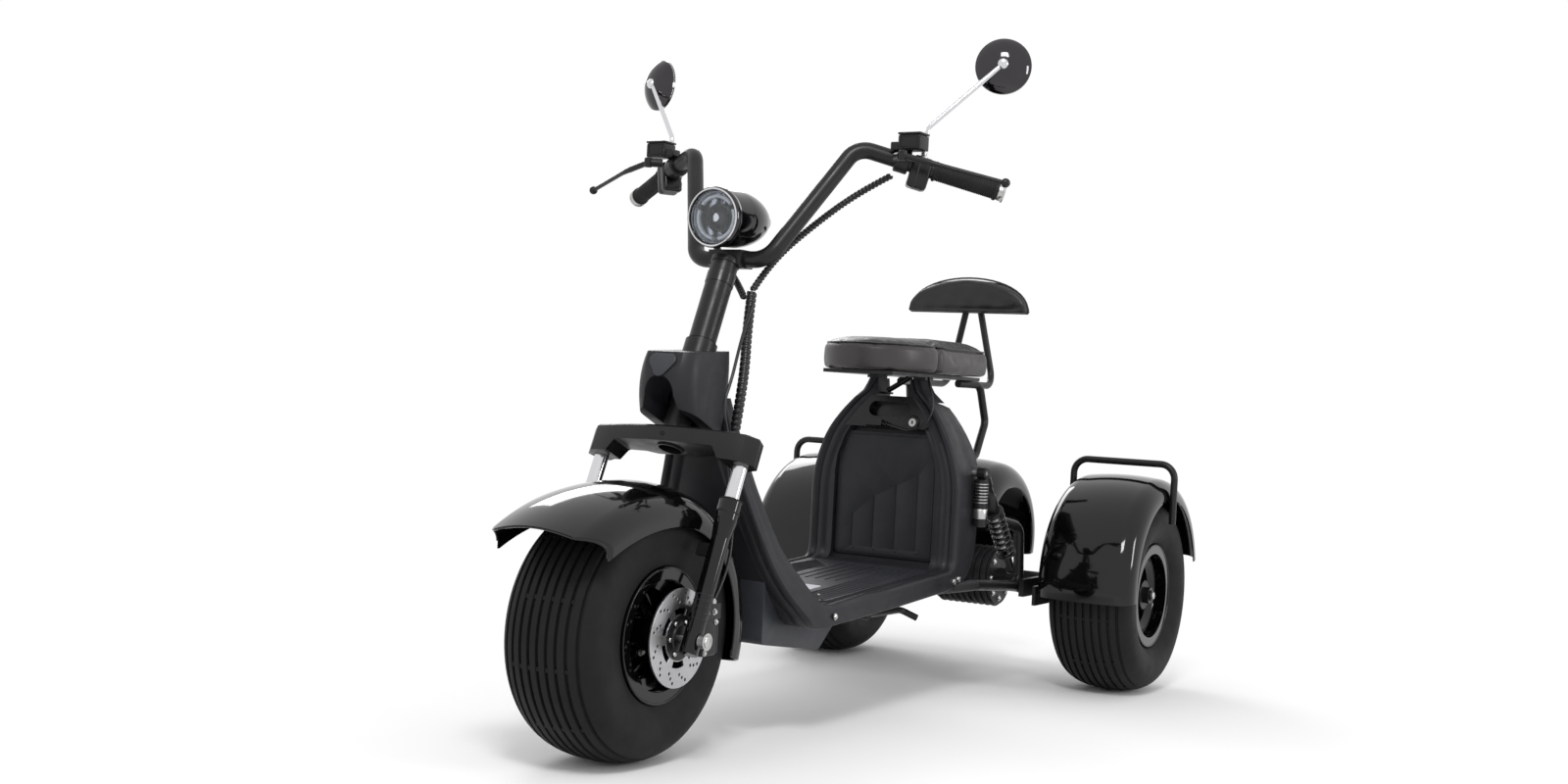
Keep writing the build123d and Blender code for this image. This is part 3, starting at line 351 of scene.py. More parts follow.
# ---------------------------------------------------------------- mesh helpers
def new_mesh(name, verts, faces, smooth=True):
    mesh = bpy.data.meshes.new(name)
    mesh.from_pydata([tuple(v) for v in verts], [], faces)
    mesh.validate()
    made = linked(name, mesh)
    work = bmesh.new()
    work.from_mesh(mesh)
    bmesh.ops.recalc_face_normals(work, faces=work.faces)
    work.to_mesh(mesh)
    work.free()
    for face in mesh.polygons:
        face.use_smooth = smooth
    return made


def from_work(name, work):
    """New object with the mesh of a finished bmesh, which is freed."""
    mesh = bpy.data.meshes.new(name)
    work.to_mesh(mesh)
    work.free()
    return linked(name, mesh)


def paint(piece, material):
    piece.data.materials.clear()
    piece.data.materials.append(material)


def fit(piece, body, slot_name, *replaced):
    """Gives a finished piece its material, its body and the nodes it stands for."""
    paint(piece, SLOTS[slot_name])
    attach(piece, body)
    if replaced:
        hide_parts(*replaced)
    return piece


def rings(name, loops, closed=False):
    """Skin over a list of loops with equal numbers of points."""
    count = len(loops[0])
    verts = [p for loop in loops for p in loop]
    faces = []
    last = len(loops) if closed else len(loops) - 1
    for i in range(last):
        a, b = i * count, (i + 1) % len(loops) * count
        for j in range(count):
            k = (j + 1) % count
            faces.append((a + j, a + k, b + k, b + j))
    if not closed:
        faces.append(tuple(reversed(range(count))))
        faces.append(tuple(range((len(loops) - 1) * count, len(loops) * count)))
    return new_mesh(name, verts, faces)


def lathe_x(name, profile, centre, steps=96):
    """Turns a closed profile of (x, radius) points about an axis along X."""
    loops = []
    for a in angles(steps):
        loops.append([Vector(centre) + Vector((x, r * cos(a), r * sin(a))) for x, r in profile])
    return rings(name, loops, closed=True)


def sharpen(piece, angle=40):
    """Smooth shading that keeps the edges sharper than angle."""
    for face in piece.data.polygons:
        face.use_smooth = True
    piece.data.set_sharp_from_angle(angle=radians(angle))
    return piece


def angles(count, start=0.0):
    """Even angles around a full turn."""
    return [2 * pi * i / count + start for i in range(count)]


def circle(middle, side, up, radius, steps, squash=1.0):
    return [middle + side * radius * cos(a) + up * radius * squash * sin(a) for a in angles(steps)]


def along(a, b):
    """Two unit vectors square to the line from a to b, and the line's own direction."""
    run = (Vector(b) - Vector(a)).normalized()
    side = run.cross(Vector((0, 0, 1)))
    if side.length < 0.05:
        side = run.cross(Vector((0, 1, 0)))
    side.normalize()
    return side, run.cross(side), run


def turned(name, a, b, profile, steps=32, ring=False):
    """Solid or ring turned about the line from a to b. The profile holds (distance from a, radius) points."""
    side, up, run = along(a, b)
    loops = [circle(Vector(a) + run * d, side, up, r, steps) for d, r in profile]
    return sharpen(rings(name, loops, closed=ring), 35)


def rod(name, a, b, radius, edge=0.0006, steps=20):
    length = (Vector(b) - Vector(a)).length
    profile = [(0, radius - edge), (edge, radius), (length - edge, radius), (length, radius - edge)]
    return turned(name, a, b, profile, steps)


def rounded(points, radius, pieces=6):
    """A line's points with each corner turned into an arc."""
    points = [Vector(p) for p in points]
    out = [points[0]]
    for before, corner, after in zip(points, points[1:], points[2:]):
        back, ahead = (before - corner), (after - corner)
        turn = pi - back.angle(ahead)
        reach = min(radius * abs(sin(turn / 2) / cos(turn / 2)), 0.48 * back.length, 0.48 * ahead.length)
        first, last = corner + back.normalized() * reach, corner + ahead.normalized() * reach
        for i in range(pieces + 1):
            t = i / pieces
            out.append(first * (1 - t) ** 2 + corner * 2 * t * (1 - t) + last * t ** 2)
    out.append(points[-1])
    return out


def frames(points):
    """Directions along and across a line, carried without twist."""
    runs = [(b - a).normalized() for a, b in zip(points, points[1:])]
    runs.append(runs[-1])
    side = runs[0].cross(Vector((0, 0, 1)))
    if side.length < 0.05:
        side = runs[0].cross(Vector((0, 1, 0)))
    side.normalize()
    found = []
    for run in runs:
        side = (side - run * side.dot(run)).normalized()
        found.append((side.copy(), run.cross(side)))
    return found


def tube(name, points, radius, sides=14, squash=1.0):
    """Round bar along a line. radius is a number or a function of 0 to 1 along it."""
    points = [Vector(p) for p in points]
    loops = []
    for i, (p, (side, up)) in enumerate(zip(points, frames(points))):
        r = radius(i / (len(points) - 1)) if callable(radius) else radius
        loops.append(circle(p, side, up, r, sides, squash))
    return sharpen(rings(name, loops), 50)


def block(name, centre, size, bevel=0.003, turn=None, segments=3):
    """Box with rounded edges. turn is a matrix or None."""
    work = bmesh.new()
    bmesh.ops.create_cube(work, size=1)
    bmesh.ops.scale(work, vec=size, verts=work.verts)
    bmesh.ops.bevel(work, geom=work.edges[:], offset=bevel, segments=segments, profile=0.6, affect="EDGES")
    place = Matrix.Translation(Vector(centre)) @ (turn.to_4x4() if turn else Matrix.Identity(4))
    bmesh.ops.transform(work, matrix=place, verts=work.verts)
    return sharpen(from_work(name, work), 30)


def hex_bolt(name, place, direction, across=0.010, height=0.005):
    """Hexagon head on a washer, standing on place and pointing along direction."""
    direction = Vector(direction).normalized()
    side, up, run = along(place, Vector(place) + direction)
    loops = []
    washer = [(0, 0.75, False), (0.0012, 0.75, False)]
    head = [(0.0012, 0.56, True), (height - 0.001, 0.56, True), (height, 0.46, True)]
    for d, share, hexagon in washer + head:
        loop = []
        for a in angles(24):
            reach = across * share
            if hexagon:
                reach *= cos(pi / 6) / cos((a % (pi / 3)) - pi / 6)
            loop.append(Vector(place) + run * d + side * reach * cos(a) + up * reach * sin(a))
        loops.append(loop)
    return sharpen(rings(name, loops), 25)


def bolt_ring(centre, out, radius, count, across, height, start=0.0):
    """Bolts evenly round a centre, in a plane across X."""
    places = [Vector(centre) + Vector((0, radius * cos(a), radius * sin(a))) for a in angles(count, start)]
    return [hex_bolt("bolt", place, out, across, height) for place in places]


def merge(name, pieces):
    """Joins finished pieces of one finish into one object."""
    work = bmesh.new()
    for piece in pieces:
        work.from_mesh(piece.data)
    for piece in pieces:
        bpy.data.objects.remove(piece)
    return sharpen(from_work(name, work), 38)


def join(name, pieces, body, slot, *replaced):
    """Joins pieces of one finish and fits the result."""
    return fit(merge(name, pieces), body, slot, *replaced)


def mirrored(piece, name):
    """Copy of a piece on the vehicle's other side."""
    work = bmesh.new()
    work.from_mesh(piece.data)
    bmesh.ops.scale(work, vec=(-1, 1, 1), verts=work.verts)
    bmesh.ops.reverse_faces(work, faces=work.faces)
    return sharpen(from_work(name, work), 38)


def fork(x, v, w):
    """Place given across, behind and up the steering axis, from the front axle."""
    y, z = -REAR_Y + v * cos(RAKE) + w * sin(RAKE), AXLE_HEIGHT - v * sin(RAKE) + w * cos(RAKE)
    return Vector((x, y, z))


# ---------------------------------------------------------------- cords
def cord_curve(name, points, radius):
    data = bpy.data.curves.new(name, "CURVE")
    data.dimensions = "3D"
    data.bevel_depth = radius
    data.bevel_resolution = 4
    data.use_fill_caps = True
    line = data.splines.new("NURBS")
    line.points.add(len(points) - 1)
    for point, place in zip(line.points, points):
        point.co = (*place, 1)
    line.order_u = 3
    line.use_endpoint_u = True
    line.resolution_u = 10
    return linked(name, data)


def cord_line(points):
    """Points along a cord, read from its own spline."""
    guide = cord_curve("guide", points, 0)
    mesh = bpy.data.meshes.new_from_object(guide)
    line = [v.co.copy() for v in mesh.vertices]
    bpy.data.objects.remove(guide)
    bpy.data.meshes.remove(mesh)
    return line


def spaced(line, step):
    """The same line with points at even steps."""
    out, left = [line[0].copy()], step
    for a, b in zip(line, line[1:]):
        length = (b - a).length
        at = 0.0
        while length - at >= left:
            at += left
            out.append(a.lerp(b, at / length))
            left = step
        left -= length - at
    return out


def spiral_wrap(name, points, radius, pitch, band):
    """Flat band wound around a cord."""
    half = [(0.2, 0.0013), (0.42, 0.0006), (0.5, -0.0012)]
    section = [(-w, h) for w, h in reversed(half)] + half
    turns = 14
    line = spaced(cord_line(points), pitch / turns)
    loops = []
    for i, (p, (side, up)) in enumerate(zip(line, frames(line))):
        run = side.cross(up)
        a = 2 * pi * i / turns
        out = side * cos(a) + up * sin(a)
        around = (up * cos(a) - side * sin(a)) * (2 * pi * radius) + run * pitch
        width = around.normalized().cross(out)
        loops.append([p + out * (radius + h) + width * w * band for w, h in section])
    return sharpen(rings(name, loops), 60)


def metres(points):
    return [Vector(p) / 1000 for p in points]


LEFT_BRANCH = metres(
    [(232, -244, 1082), (172, -262, 1048), (112, -330, 975), (66, -394, 902), (50, -428, 846)]
)
RIGHT_BRANCH = metres(
    [
        (-232, -244, 1082), (-172, -268, 1046), (-112, -338, 975), (-56, -388, 910), (-4, -404, 866),
        (30, -428, 832)
    ]
)
MAIN_LOOM = metres([(49, -430, 840), (57, -452, 772), (73, -478, 702), (84, -505, 640), (78, -508, 584)])
HOSE = metres([(136, -640, 286), (140, -604, 330)]) + [
    fork(x / 1000, v / 1000, w / 1000)
    for x, v, w in (
        (128, 63, 236), (114, 38, 300), (98, 20, 378), (93, -20, 425), (92, -14, 480), (85, -8, 535),
        (74, 6, 590), (62, 26, 648)
    )
]


# The battery top's face leans back: this much out and up for each unit square to it.
LEAN, REST = 0.977, 0.212


def top_face(x, up, out):
    """Place on the battery top's sloping face, in millimetres across, up the slope and out of it."""
    return Vector((x, 241 + REST * up - LEAN * out, 590 + LEAN * up + REST * out)) / 1000


LEAD = [
    top_face(*p)
    for p in (
        (-7.9, 8, 8), (22, 2, 10), (62, -8, 14), (98, 4, 13), (113, 36, 12), (108, 72, 12), (94, 94, 9)
    )
] + metres([(84, 266, 705.3)])


def make_cords():
    for side, points in (("left", LEFT_BRANCH), ("right", RIGHT_BRANCH)):
        core = cord_curve("branch_core_" + side, points, 0.0052)
        wrap = spiral_wrap("branch_wrap_" + side, points, 0.0056, 0.0078, 0.0064)
        fit(core, "steering", "loom_sleeve")
        fit(wrap, "steering", "loom_sleeve")
    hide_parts("wiring_branches")
    core = tube("loom_core", cord_line(MAIN_LOOM), 0.0082)
    wrap = spiral_wrap("loom_wrap", MAIN_LOOM, 0.0086, 0.0105, 0.0088)
    for piece in (core, wrap):
        paint(piece, SLOTS["loom_sleeve"])
        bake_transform(piece)
    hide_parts("wiring_loom")
    hose = cord_curve("front_brake_hose", HOSE, 0.003)
    fit(hose, "steering", "loom_sleeve", "brake_hose")
    lead = cord_curve("charging_lead", LEAD, 0.0025)
    fit(lead, "chassis", "loom_sleeve", "battery_lead")
    plug = LEAD[0]
    run = (LEAD[1] - LEAD[0]).normalized()
    profile = [(0, 0.0048), (0.0004, 0.0056), (0.0018, 0.0054), (0.0022, 0.0046)]
    collars = [
        turned("collar", plug + run * d, plug + run * (d + 0.0022), profile, 20)
        for d in (0.001, 0.0052, 0.0094)
    ]
    join("strain_relief", collars, "chassis", "loom_sleeve")


def dress_nodes():
    for name, node in nodes.items():
        paint(node, SLOTS[slot_of[name]])
        sharpen(node, 32)


# ---------------------------------------------------------------- moulded edges
def eased(node, body, width, segments=3, angle=28):
    """Copy of a solid with its hard edges rounded over, as moulded or cast pieces have them."""
    solid = nodes[node]
    work = bmesh.new()
    work.from_mesh(solid.data)
    bmesh.ops.transform(work, matrix=solid.matrix_world, verts=work.verts)
    bmesh.ops.remove_doubles(work, verts=work.verts, dist=0.00002)
    bmesh.ops.dissolve_limit(work, angle_limit=radians(1.5), verts=work.verts, edges=work.edges)
    hard = [e for e in work.edges if len(e.link_faces) == 2 and e.calc_face_angle(0) > radians(angle)]
    bmesh.ops.bevel(
        work, geom=hard, offset=width, segments=segments, profile=0.5, affect="EDGES", clamp_overlap=True
    )
    bmesh.ops.triangulate(work, faces=[f for f in work.faces if len(f.verts) > 4])
    return fit(sharpen(from_work("eased_" + node, work), 50), body, slot_of[node], node)


def make_eased():
    eased("neck_cover", "chassis", 0.007, 4)
    eased("fork_crown", "steering", 0.004, 3)
    eased("belly_pan", "chassis", 0.003)
    eased("bar_clamp", "steering", 0.0025)
    eased("badge_plate", "chassis", 0.0018)
    eased("battery_case", "chassis", 0.0016, 2)


# ---------------------------------------------------------------- tyres
TREAD_GROOVES = 9
# The tread's section is a rounded curve of this power. The tyre is widest at the radius WIDEST.
ROUNDNESS = 2.46
WIDEST = 0.171


def tread_pitch(half):
    return 2 * half * 0.92 / (TREAD_GROOVES + 1)


def tyre_profile(
    half, rim_half, crown, bead, grooves=TREAD_GROOVES, groove_width=0.0046, groove_depth=0.0055
):
    """Outer line of a ribbed balloon tyre from bead to bead, then back along its inside."""
    widest = crown - 0.0565
    power = 2 / ROUNDNESS
    pitch = tread_pitch(half)
    centres = [(i - (grooves - 1) / 2) * pitch for i in range(grooves)]
    picked = []
    for i in range(13):
        t = pi * 0.5 * (i / 12) * 0.42
        picked.append((half * cos(t) ** power, widest + (crown - widest) * sin(t) ** power))
    edges = []
    for c in reversed(centres):
        edges += [
            (c + groove_width / 2 + 0.0012, 0), (c + groove_width / 2, 1), (c - groove_width / 2, 1),
            (c - groove_width / 2 - 0.0012, 0)
        ]
        edges.append((c - pitch / 2, 0))
    for x, deep in edges:
        r = widest + (crown - widest) * (1 - min(1, abs(x) / half) ** (2 / power)) ** (power / 2)
        picked.append((x, r - groove_depth * deep))
    picked += [(-x, r) for x, r in reversed(picked[:13])]
    low = []
    for i in range(1, 9):
        t = i / 8
        low.append((half + (rim_half - half) * t ** 2.2, widest - (widest - bead) * t))
    inner = [
        (-rim_half + 0.02, bead - 0.004), (-half + 0.03, widest), (0, crown - 0.02), (half - 0.03, widest),
        (rim_half - 0.02, bead - 0.004)
    ]
    return low[::-1] + picked + [(-x, r) for x, r in low] + inner


def make_tyre(node, body, rim_half):
    low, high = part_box(node)
    centre = (low + high) / 2
    crown, half = (high.z - low.z) / 2, 0.1
    profile = tyre_profile(half, rim_half, crown, 0.1205)
    piece = lathe_x("ribbed_" + node, profile, centre, steps=112)
    sharpen(piece, 38)
    fit(piece, body, "tyre_rubber", node)
    bars = []
    for i, a in enumerate(angles(12, 0.2)):
        out = Vector((0, cos(a), sin(a)))
        turn = Matrix(((1, 0, 0), (0, out.z, out.y), (0, -out.y, out.z)))
        for k in range(1 + i % 2, TREAD_GROOVES - 1):
            x = (k - (TREAD_GROOVES - 1) / 2) * tread_pitch(half)
            drop = (crown - WIDEST) * (1 - (1 - (abs(x) / half) ** ROUNDNESS) ** (1 / ROUNDNESS))
            place = centre + Vector((x, 0, 0)) + out * (crown - drop - 0.0036)
            bars.append(block("bar", place, (0.0054, 0.008, 0.005), 0.0008, turn, 1))
    join("tread_bars_" + node, bars, body, "tyre_rubber")


# ---------------------------------------------------------------- body shell
# Side outlines in millimetres (back, up): outer is the front, underside and back, inner is the rider's side.
OUTER = [(-524, 640), (-492, 480), (-446, 300), (-362, 212), (-20, 230), (338, 254), (352, 530), (318, 700)]
INNER = [(-488, 640), (-444, 470), (-404, 355), (-318, 250), (-20, 269), (240, 286), (240, 580), (266, 700)]
OUTER_BENDS = [260, 200, 70, 300, 120, 240]
INNER_BENDS = [260, 150, 74, 300, 34, 200]


def bent(points, bends, straight=7, corner=7):
    """Line with rounded corners, with the same number of points for any bends."""
    points = [Vector((0, y, z)) for y, z in points]
    stops = [(points[0], points[0], points[0])]
    for (before, here, after), radius in zip(zip(points, points[1:], points[2:]), bends):
        back, ahead = before - here, after - here
        reach = min(
            radius * abs(1 / (sin(back.angle(ahead) / 2) / cos(back.angle(ahead) / 2))), 0.45 * back.length,
            0.45 * ahead.length
        )
        stops.append((here + back.normalized() * reach, here, here + ahead.normalized() * reach))
    stops.append((points[-1], points[-1], points[-1]))
    line = []
    for (_, _, leave), (enter, mid, out) in zip(stops, stops[1:]):
        line += [leave.lerp(enter, i / straight) for i in range(straight)]
        if mid != enter:
            line += [
                enter * (1 - t) ** 2 + mid * 2 * t * (1 - t) + out * t ** 2
                for t in (i / corner for i in range(corner))
            ]
    line.append(points[-1])
    return line


def arc_through(a, b, c, z):
    """Distance across at height z on the circle through three (across, up) points."""
    (x1, y1), (x2, y2), (x3, y3) = a, b, c
    d = 2 * (x1 * (y2 - y3) + x2 * (y3 - y1) + x3 * (y1 - y2))
    ux = ((x1**2 + y1**2) * (y2 - y3) + (x2**2 + y2**2) * (y3 - y1) + (x3**2 + y3**2) * (y1 - y2)) / d
    uy = ((x1**2 + y1**2) * (x3 - x2) + (x2**2 + y2**2) * (x1 - x3) + (x3**2 + y3**2) * (x2 - x1)) / d
    reach = sqrt(max(0, (x1 - ux) ** 2 + (y1 - uy) ** 2 - (z - uy) ** 2))
    return ux + reach if x2 > ux else ux - reach


def half_width(y, z):
    """Half of the shell's width at a place of its side outline, in millimetres."""
    if y < -100:
        return 185 if z < 236 else arc_through((185, 236), (103, 450), (50, 660), min(z, 660))
    if z < 462:
        return 185
    return arc_through((185, 462), (145, 590), (74, 674), z) if z < 674 else 74 - (z - 674) * 14 / 38


# Distance in from the edge, and height above the surface, of the double bead along each edge.
BEAD = [
    (0, -4), (1.2, -1.2), (4, 2.2), (9, 3.6), (14, 2.6), (17, -1.5), (19, -3), (21, -1.5), (24, 1.6),
    (30, 2.6), (38, 2.0), (42, -1.5), (45, -2.2), (49, 0)
]


def skin_loop(outer, inner, deep):
    """One closed section across the shell. deep sinks the middle of the rider's side for the battery."""
    out = (outer - inner).normalized()
    w_out, w_in = half_width(outer.y, outer.z), half_width(inner.y, inner.z)
    right = []
    for d, h in reversed(BEAD):
        p = outer + out * (h * 0.55)
        right.append(Vector((w_out - d, p.y, p.z)))
    for t, bulge in ((0.16, 0.4), (0.34, 1.6), (0.5, -0.6), (0.66, 1.6), (0.84, 0.4)):
        p = outer.lerp(inner, t)
        right.append(Vector((w_out + (w_in - w_out) * t + bulge, p.y, p.z)))
    for d, h in BEAD:
        p = inner - out * h
        right.append(Vector((w_in - d, p.y, p.z)))
    last = inner + out * deep
    edge = min(126.0, w_in - 52)
    right.append(Vector((edge, inner.y, inner.z)))
    right.append(Vector((edge - 0.5, last.y, last.z)))
    left = [Vector((-p.x, p.y, p.z)) for p in reversed(right)]
    return [p / 1000 for p in right + left]


def make_body():
    outer, inner = bent(OUTER, OUTER_BENDS), bent(INNER, INNER_BENDS)
    loops = []
    for o, i in zip(outer, inner):
        rise = min(1.0, max(0.0, (i.z - 287) / 14)) if i.y > 200 else 0.0
        if i.y <= 200 or i.z <= 664:
            loops.append(skin_loop(o, i, 22 * rise))
    piece = rings("body_skin", loops)
    fit(sharpen(piece, 42), "chassis", "body_plastic", "body_shell")
    posts = []
    for side in (1, -1):
        sections = []
        for z in (650, 672, 686, 700):
            y_in, y_out = 240 + (z - 580) * 26 / 120, 352 - max(0, z - 530) * 34 / 170
            w = half_width(300, z)
            ring = [
                (40, y_in), (w - 22, y_in - 1.5), (w - 19, y_in + 2), (w - 16, y_in - 1.5),
                (w - 8, y_in - 3), (w - 1, y_in + 1), (w, y_in + 8), (w, y_out - 8), (w - 3, y_out),
                (40, y_out)
            ]
            sections.append([Vector((side * x, y, z)) / 1000 for x, y in ring])
        posts.append(rings("post", sections))
    join("riser_posts", posts, "chassis", "body_plastic")


# ---------------------------------------------------------------- seats
def puffed(piece, pressure, cap, voxel=0.005):
    """Fills a closed leather cover with air, then lets it settle."""
    remesh = piece.modifiers.new("remesh", "REMESH")
    remesh.mode = "VOXEL"
    remesh.voxel_size = voxel
    bpy.context.view_layer.objects.active = piece
    bpy.ops.object.modifier_apply(modifier=remesh.name)
    rest = [v.co.copy() for v in piece.data.vertices]
    low = min(v.z for v in rest)
    group = piece.vertex_groups.new(name="base")
    group.add([i for i, v in enumerate(rest) if v.z < low + 0.008], 1.0, "ADD")
    cloth = piece.modifiers.new("cloth", "CLOTH")
    cloth.settings.use_pressure = True
    cloth.settings.uniform_pressure_force = pressure
    cloth.settings.effector_weights.gravity = 0
    cloth.settings.vertex_group_mass = "base"
    cloth.settings.quality = 5
    cloth.point_cache.frame_start = 1
    cloth.point_cache.frame_end = 20
    for step in range(1, 21):
        scene.frame_set(step)
    shaped = piece.evaluated_get(bpy.context.evaluated_depsgraph_get())
    moved = [v.co.copy() for v in shaped.data.vertices]
    piece.modifiers.remove(cloth)
    scene.frame_set(1)
    for vertex, before, after in zip(piece.data.vertices, rest, moved):
        shift = after - before
        if shift.length > cap:
            shift = shift.normalized() * cap
        vertex.co = before + shift
    return piece


def pad_plan(node):
    """Outline of a seat pad seen from above, from its front middle round the left side."""
    low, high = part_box(node)
    half, corner = high.x - 0.0025, 0.013
    right = []
    if node == "saddle":
        front, rear = low.y + 0.003, high.y - 0.0015
        deep = rear - corner - front
        right += [
            Vector((half * sin(t), front + deep * (1 - cos(t))))
            for t in (pi / 2 * i / 18 for i in range(19))
        ]
        right += [
            Vector((half - corner * (1 - cos(t)), rear - corner * (1 - sin(t))))
            for t in (pi / 2 * i / 4 for i in range(1, 5))
        ]
        right += [Vector(((half - corner) * (1 - i / 6), rear)) for i in range(1, 7)]
    else:
        front, rear = low.y + 0.0015, high.y - 0.003
        right += [Vector(((half - corner) * i / 6, front)) for i in range(7)]
        right += [
            Vector((half - corner * (1 - sin(t)), front + corner * (1 - cos(t))))
            for t in (pi / 2 * i / 4 for i in range(1, 5))
        ]
        side_end, tail_deep = rear - 0.070, 0.052
        right += [Vector((half, front + corner + (side_end - front - corner) * i / 7)) for i in range(1, 8)]
        right += [Vector((half - 0.012 * t * t, side_end + 0.018 * t)) for t in (0.4, 0.75, 1.0)]
        reach = half - 0.012
        radius = (reach ** 2 + tail_deep ** 2) / (2 * tail_deep)
        right += [
            Vector((reach * (1 - i / 8), rear - radius + sqrt(radius ** 2 - (reach * (1 - i / 8)) ** 2)))
            for i in range(1, 9)
        ]
    return right + [Vector((-p.x, p.y)) for p in reversed(right[1:-1])]


def drawn_in(outline, inset):
    """The same outline with its sides moved in by about the same distance all round."""
    wide = max(p.x for p in outline)
    front, rear = min(p.y for p in outline), max(p.y for p in outline)
    middle, deep = (front + rear) / 2, (rear - front) / 2
    return [Vector((p.x * (1 - inset / wide), middle + (p.y - middle) * (1 - inset / deep))) for p in outline]


def padded_form(name, outline, low, high):
    """Closed pad: a full side band up to the piping, then a stitched top that rises to a low crown."""
    seam = SEAM_HEIGHT
    steps = [
        (low, 0.012), (low + 0.003, 0.004), (low + 0.012, 0.001), (low + 0.026, 0.0), (low + 0.040, 0.0005)
    ]
    steps += [
        (seam - 0.008, 0.002), (seam - 0.0035, 0.0045), (seam - 0.001, 0.0085), (seam, 0.011),
        (seam + 0.003, 0.014)
    ]
    rise = high - seam
    crown = ((0.45, 0.022), (0.68, 0.036), (0.84, 0.056), (0.95, 0.082))
    steps += [(seam + rise * share, inset) for share, inset in crown]
    loops = [[Vector((p.x, p.y, z)) for p in drawn_in(outline, inset)] for z, inset in steps]
    return rings(name, loops)


def groove(piece, lines, depth, width):
    """Presses stitched channels into the upper side of a pad along flat (x, y) lines."""
    for vertex in piece.data.vertices:
        if vertex.normal.z < 0.35:
            continue
        near = 1.0
        for (ax, ay), (bx, by) in lines:
            run = Vector((bx - ax, by - ay))
            here = Vector((vertex.co.x - ax, vertex.co.y - ay))
            t = max(0, min(1, here.dot(run) / run.length_squared))
            away = (Vector((vertex.co.x, vertex.co.y)) - Vector((ax, ay)) - run * t).length
            near = min(near, away)
        if near < width:
            vertex.co.z -= depth * (0.5 + 0.5 * cos(pi * near / width))


def soften(piece, times=1):
    smooth = piece.modifiers.new("soft", "SUBSURF")
    smooth.levels = times
    smooth.render_levels = times
    bpy.context.view_layer.objects.active = piece
    bpy.ops.object.modifier_apply(modifier=smooth.name)
    for face in piece.data.polygons:
        face.use_smooth = True
    return piece


def make_seats():
    for name, node in (("saddle_pad", "saddle"), ("pillion_pad", "rear_seat")):
        low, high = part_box(node)
        outline = pad_plan(node)
        pad = padded_form(name, outline, low.z + 0.0008, high.z - 0.004)
        puffed(pad, 3.0, 0.004)
        lines = []
        for k in range(-5, 16):
            y = low.y + 0.026 * k
            lines.append(((-0.098, y), (0.0, y + 0.045)))
            lines.append(((0.098, y), (0.0, y + 0.045)))
        lines = [(a, b) for a, b in lines if low.y + 0.025 < (a[1] + b[1]) / 2 < high.y - 0.022]
        pad.data.update()
        groove(pad, lines, 0.0011, 0.0042)
        soften(pad)
        fit(pad, "chassis", "seat_leather", node)
        rim = [Vector((p.x, p.y, SEAM_HEIGHT - 0.0004)) for p in drawn_in(outline, 0.0085)]
        piping = tube(name + "_piping", rim + [rim[0]], 0.0021, 8)
        fit(piping, "chassis", "gloss_plastic")


def make_backrest():
    outline = [(0.157 * cos(a), 0.873 + 0.083 * sin(a) ** 0.9) for a in (pi * i / 24 for i in range(25))]
    faces = []
    for y, grow in (
        (0.6205, 0.82), (0.6165, 0.92), (0.6175, 0.985), (0.624, 1.0), (0.640, 1.0), (0.6465, 0.985),
        (0.6475, 0.92), (0.644, 0.82)
    ):
        faces.append([Vector((x * grow, y, 0.905 + (z - 0.905) * grow)) for x, z in outline])
    pad = rings("backrest_cushion", faces)
    puffed(pad, 3.0, 0.005)
    for vertex in pad.data.vertices:
        fold = sin(vertex.co.x * 95 + vertex.co.z * 60) * sin(vertex.co.z * 140 - vertex.co.x * 30)
        edge = max(0.0, 1 - abs(vertex.co.z - 0.88) / 0.05)
        vertex.co.y += 0.0009 * fold * (0.4 + edge)
    soften(pad)
    fit(pad, "chassis", "seat_leather", "backrest_pad")
    ring = [Vector((x, 0.632, z)) for x, z in outline]
    ring.append(ring[0])
    fit(tube("backrest_seam", rounded(ring, 0.006, 3), 0.0022, 8), "chassis", "seat_leather")


# ---------------------------------------------------------------- wheels, disc and brake
def plate_with_holes(name, radius, holes, thickness):
    """Round flat plate about the X axis, with closed hole outlines given as (y, z) points."""
    data = bpy.data.curves.new(name, "CURVE")
    data.dimensions = "2D"
    data.fill_mode = "BOTH"
    data.extrude = thickness / 2 - 0.0004
    data.bevel_depth = 0.0004
    data.bevel_resolution = 1
    edge = [(radius * cos(a), radius * sin(a)) for a in angles(128)]
    for outline in [edge] + holes:
        spline = data.splines.new("POLY")
        spline.points.add(len(outline) - 1)
        for point, (u, v) in zip(spline.points, outline):
            point.co = (u, v, 0, 1)
        spline.use_cyclic_u = True
    guide = linked(name + "_guide", data)
    mesh = bpy.data.meshes.new_from_object(guide)
    bpy.data.objects.remove(guide)
    mesh.transform(Matrix(((0, 0, 1, 0), (1, 0, 0, 0), (0, 1, 0, 0), (0, 0, 0, 1))))
    return linked(name, mesh)


def hole(radius, at, angle, steps=16):
    u, v = at * cos(angle), at * sin(angle)
    return [(u + radius * cos(a), v + radius * sin(a)) for a in angles(steps)]


def window(low, high, start, end, steps=10):
    """Kidney-shaped hole between two radii and two angles."""
    turn = [start + (end - start) * i / steps for i in range(steps + 1)]
    outer = [(high * cos(a), high * sin(a)) for a in turn]
    return outer + [(low * cos(a), low * sin(a)) for a in reversed(turn)]


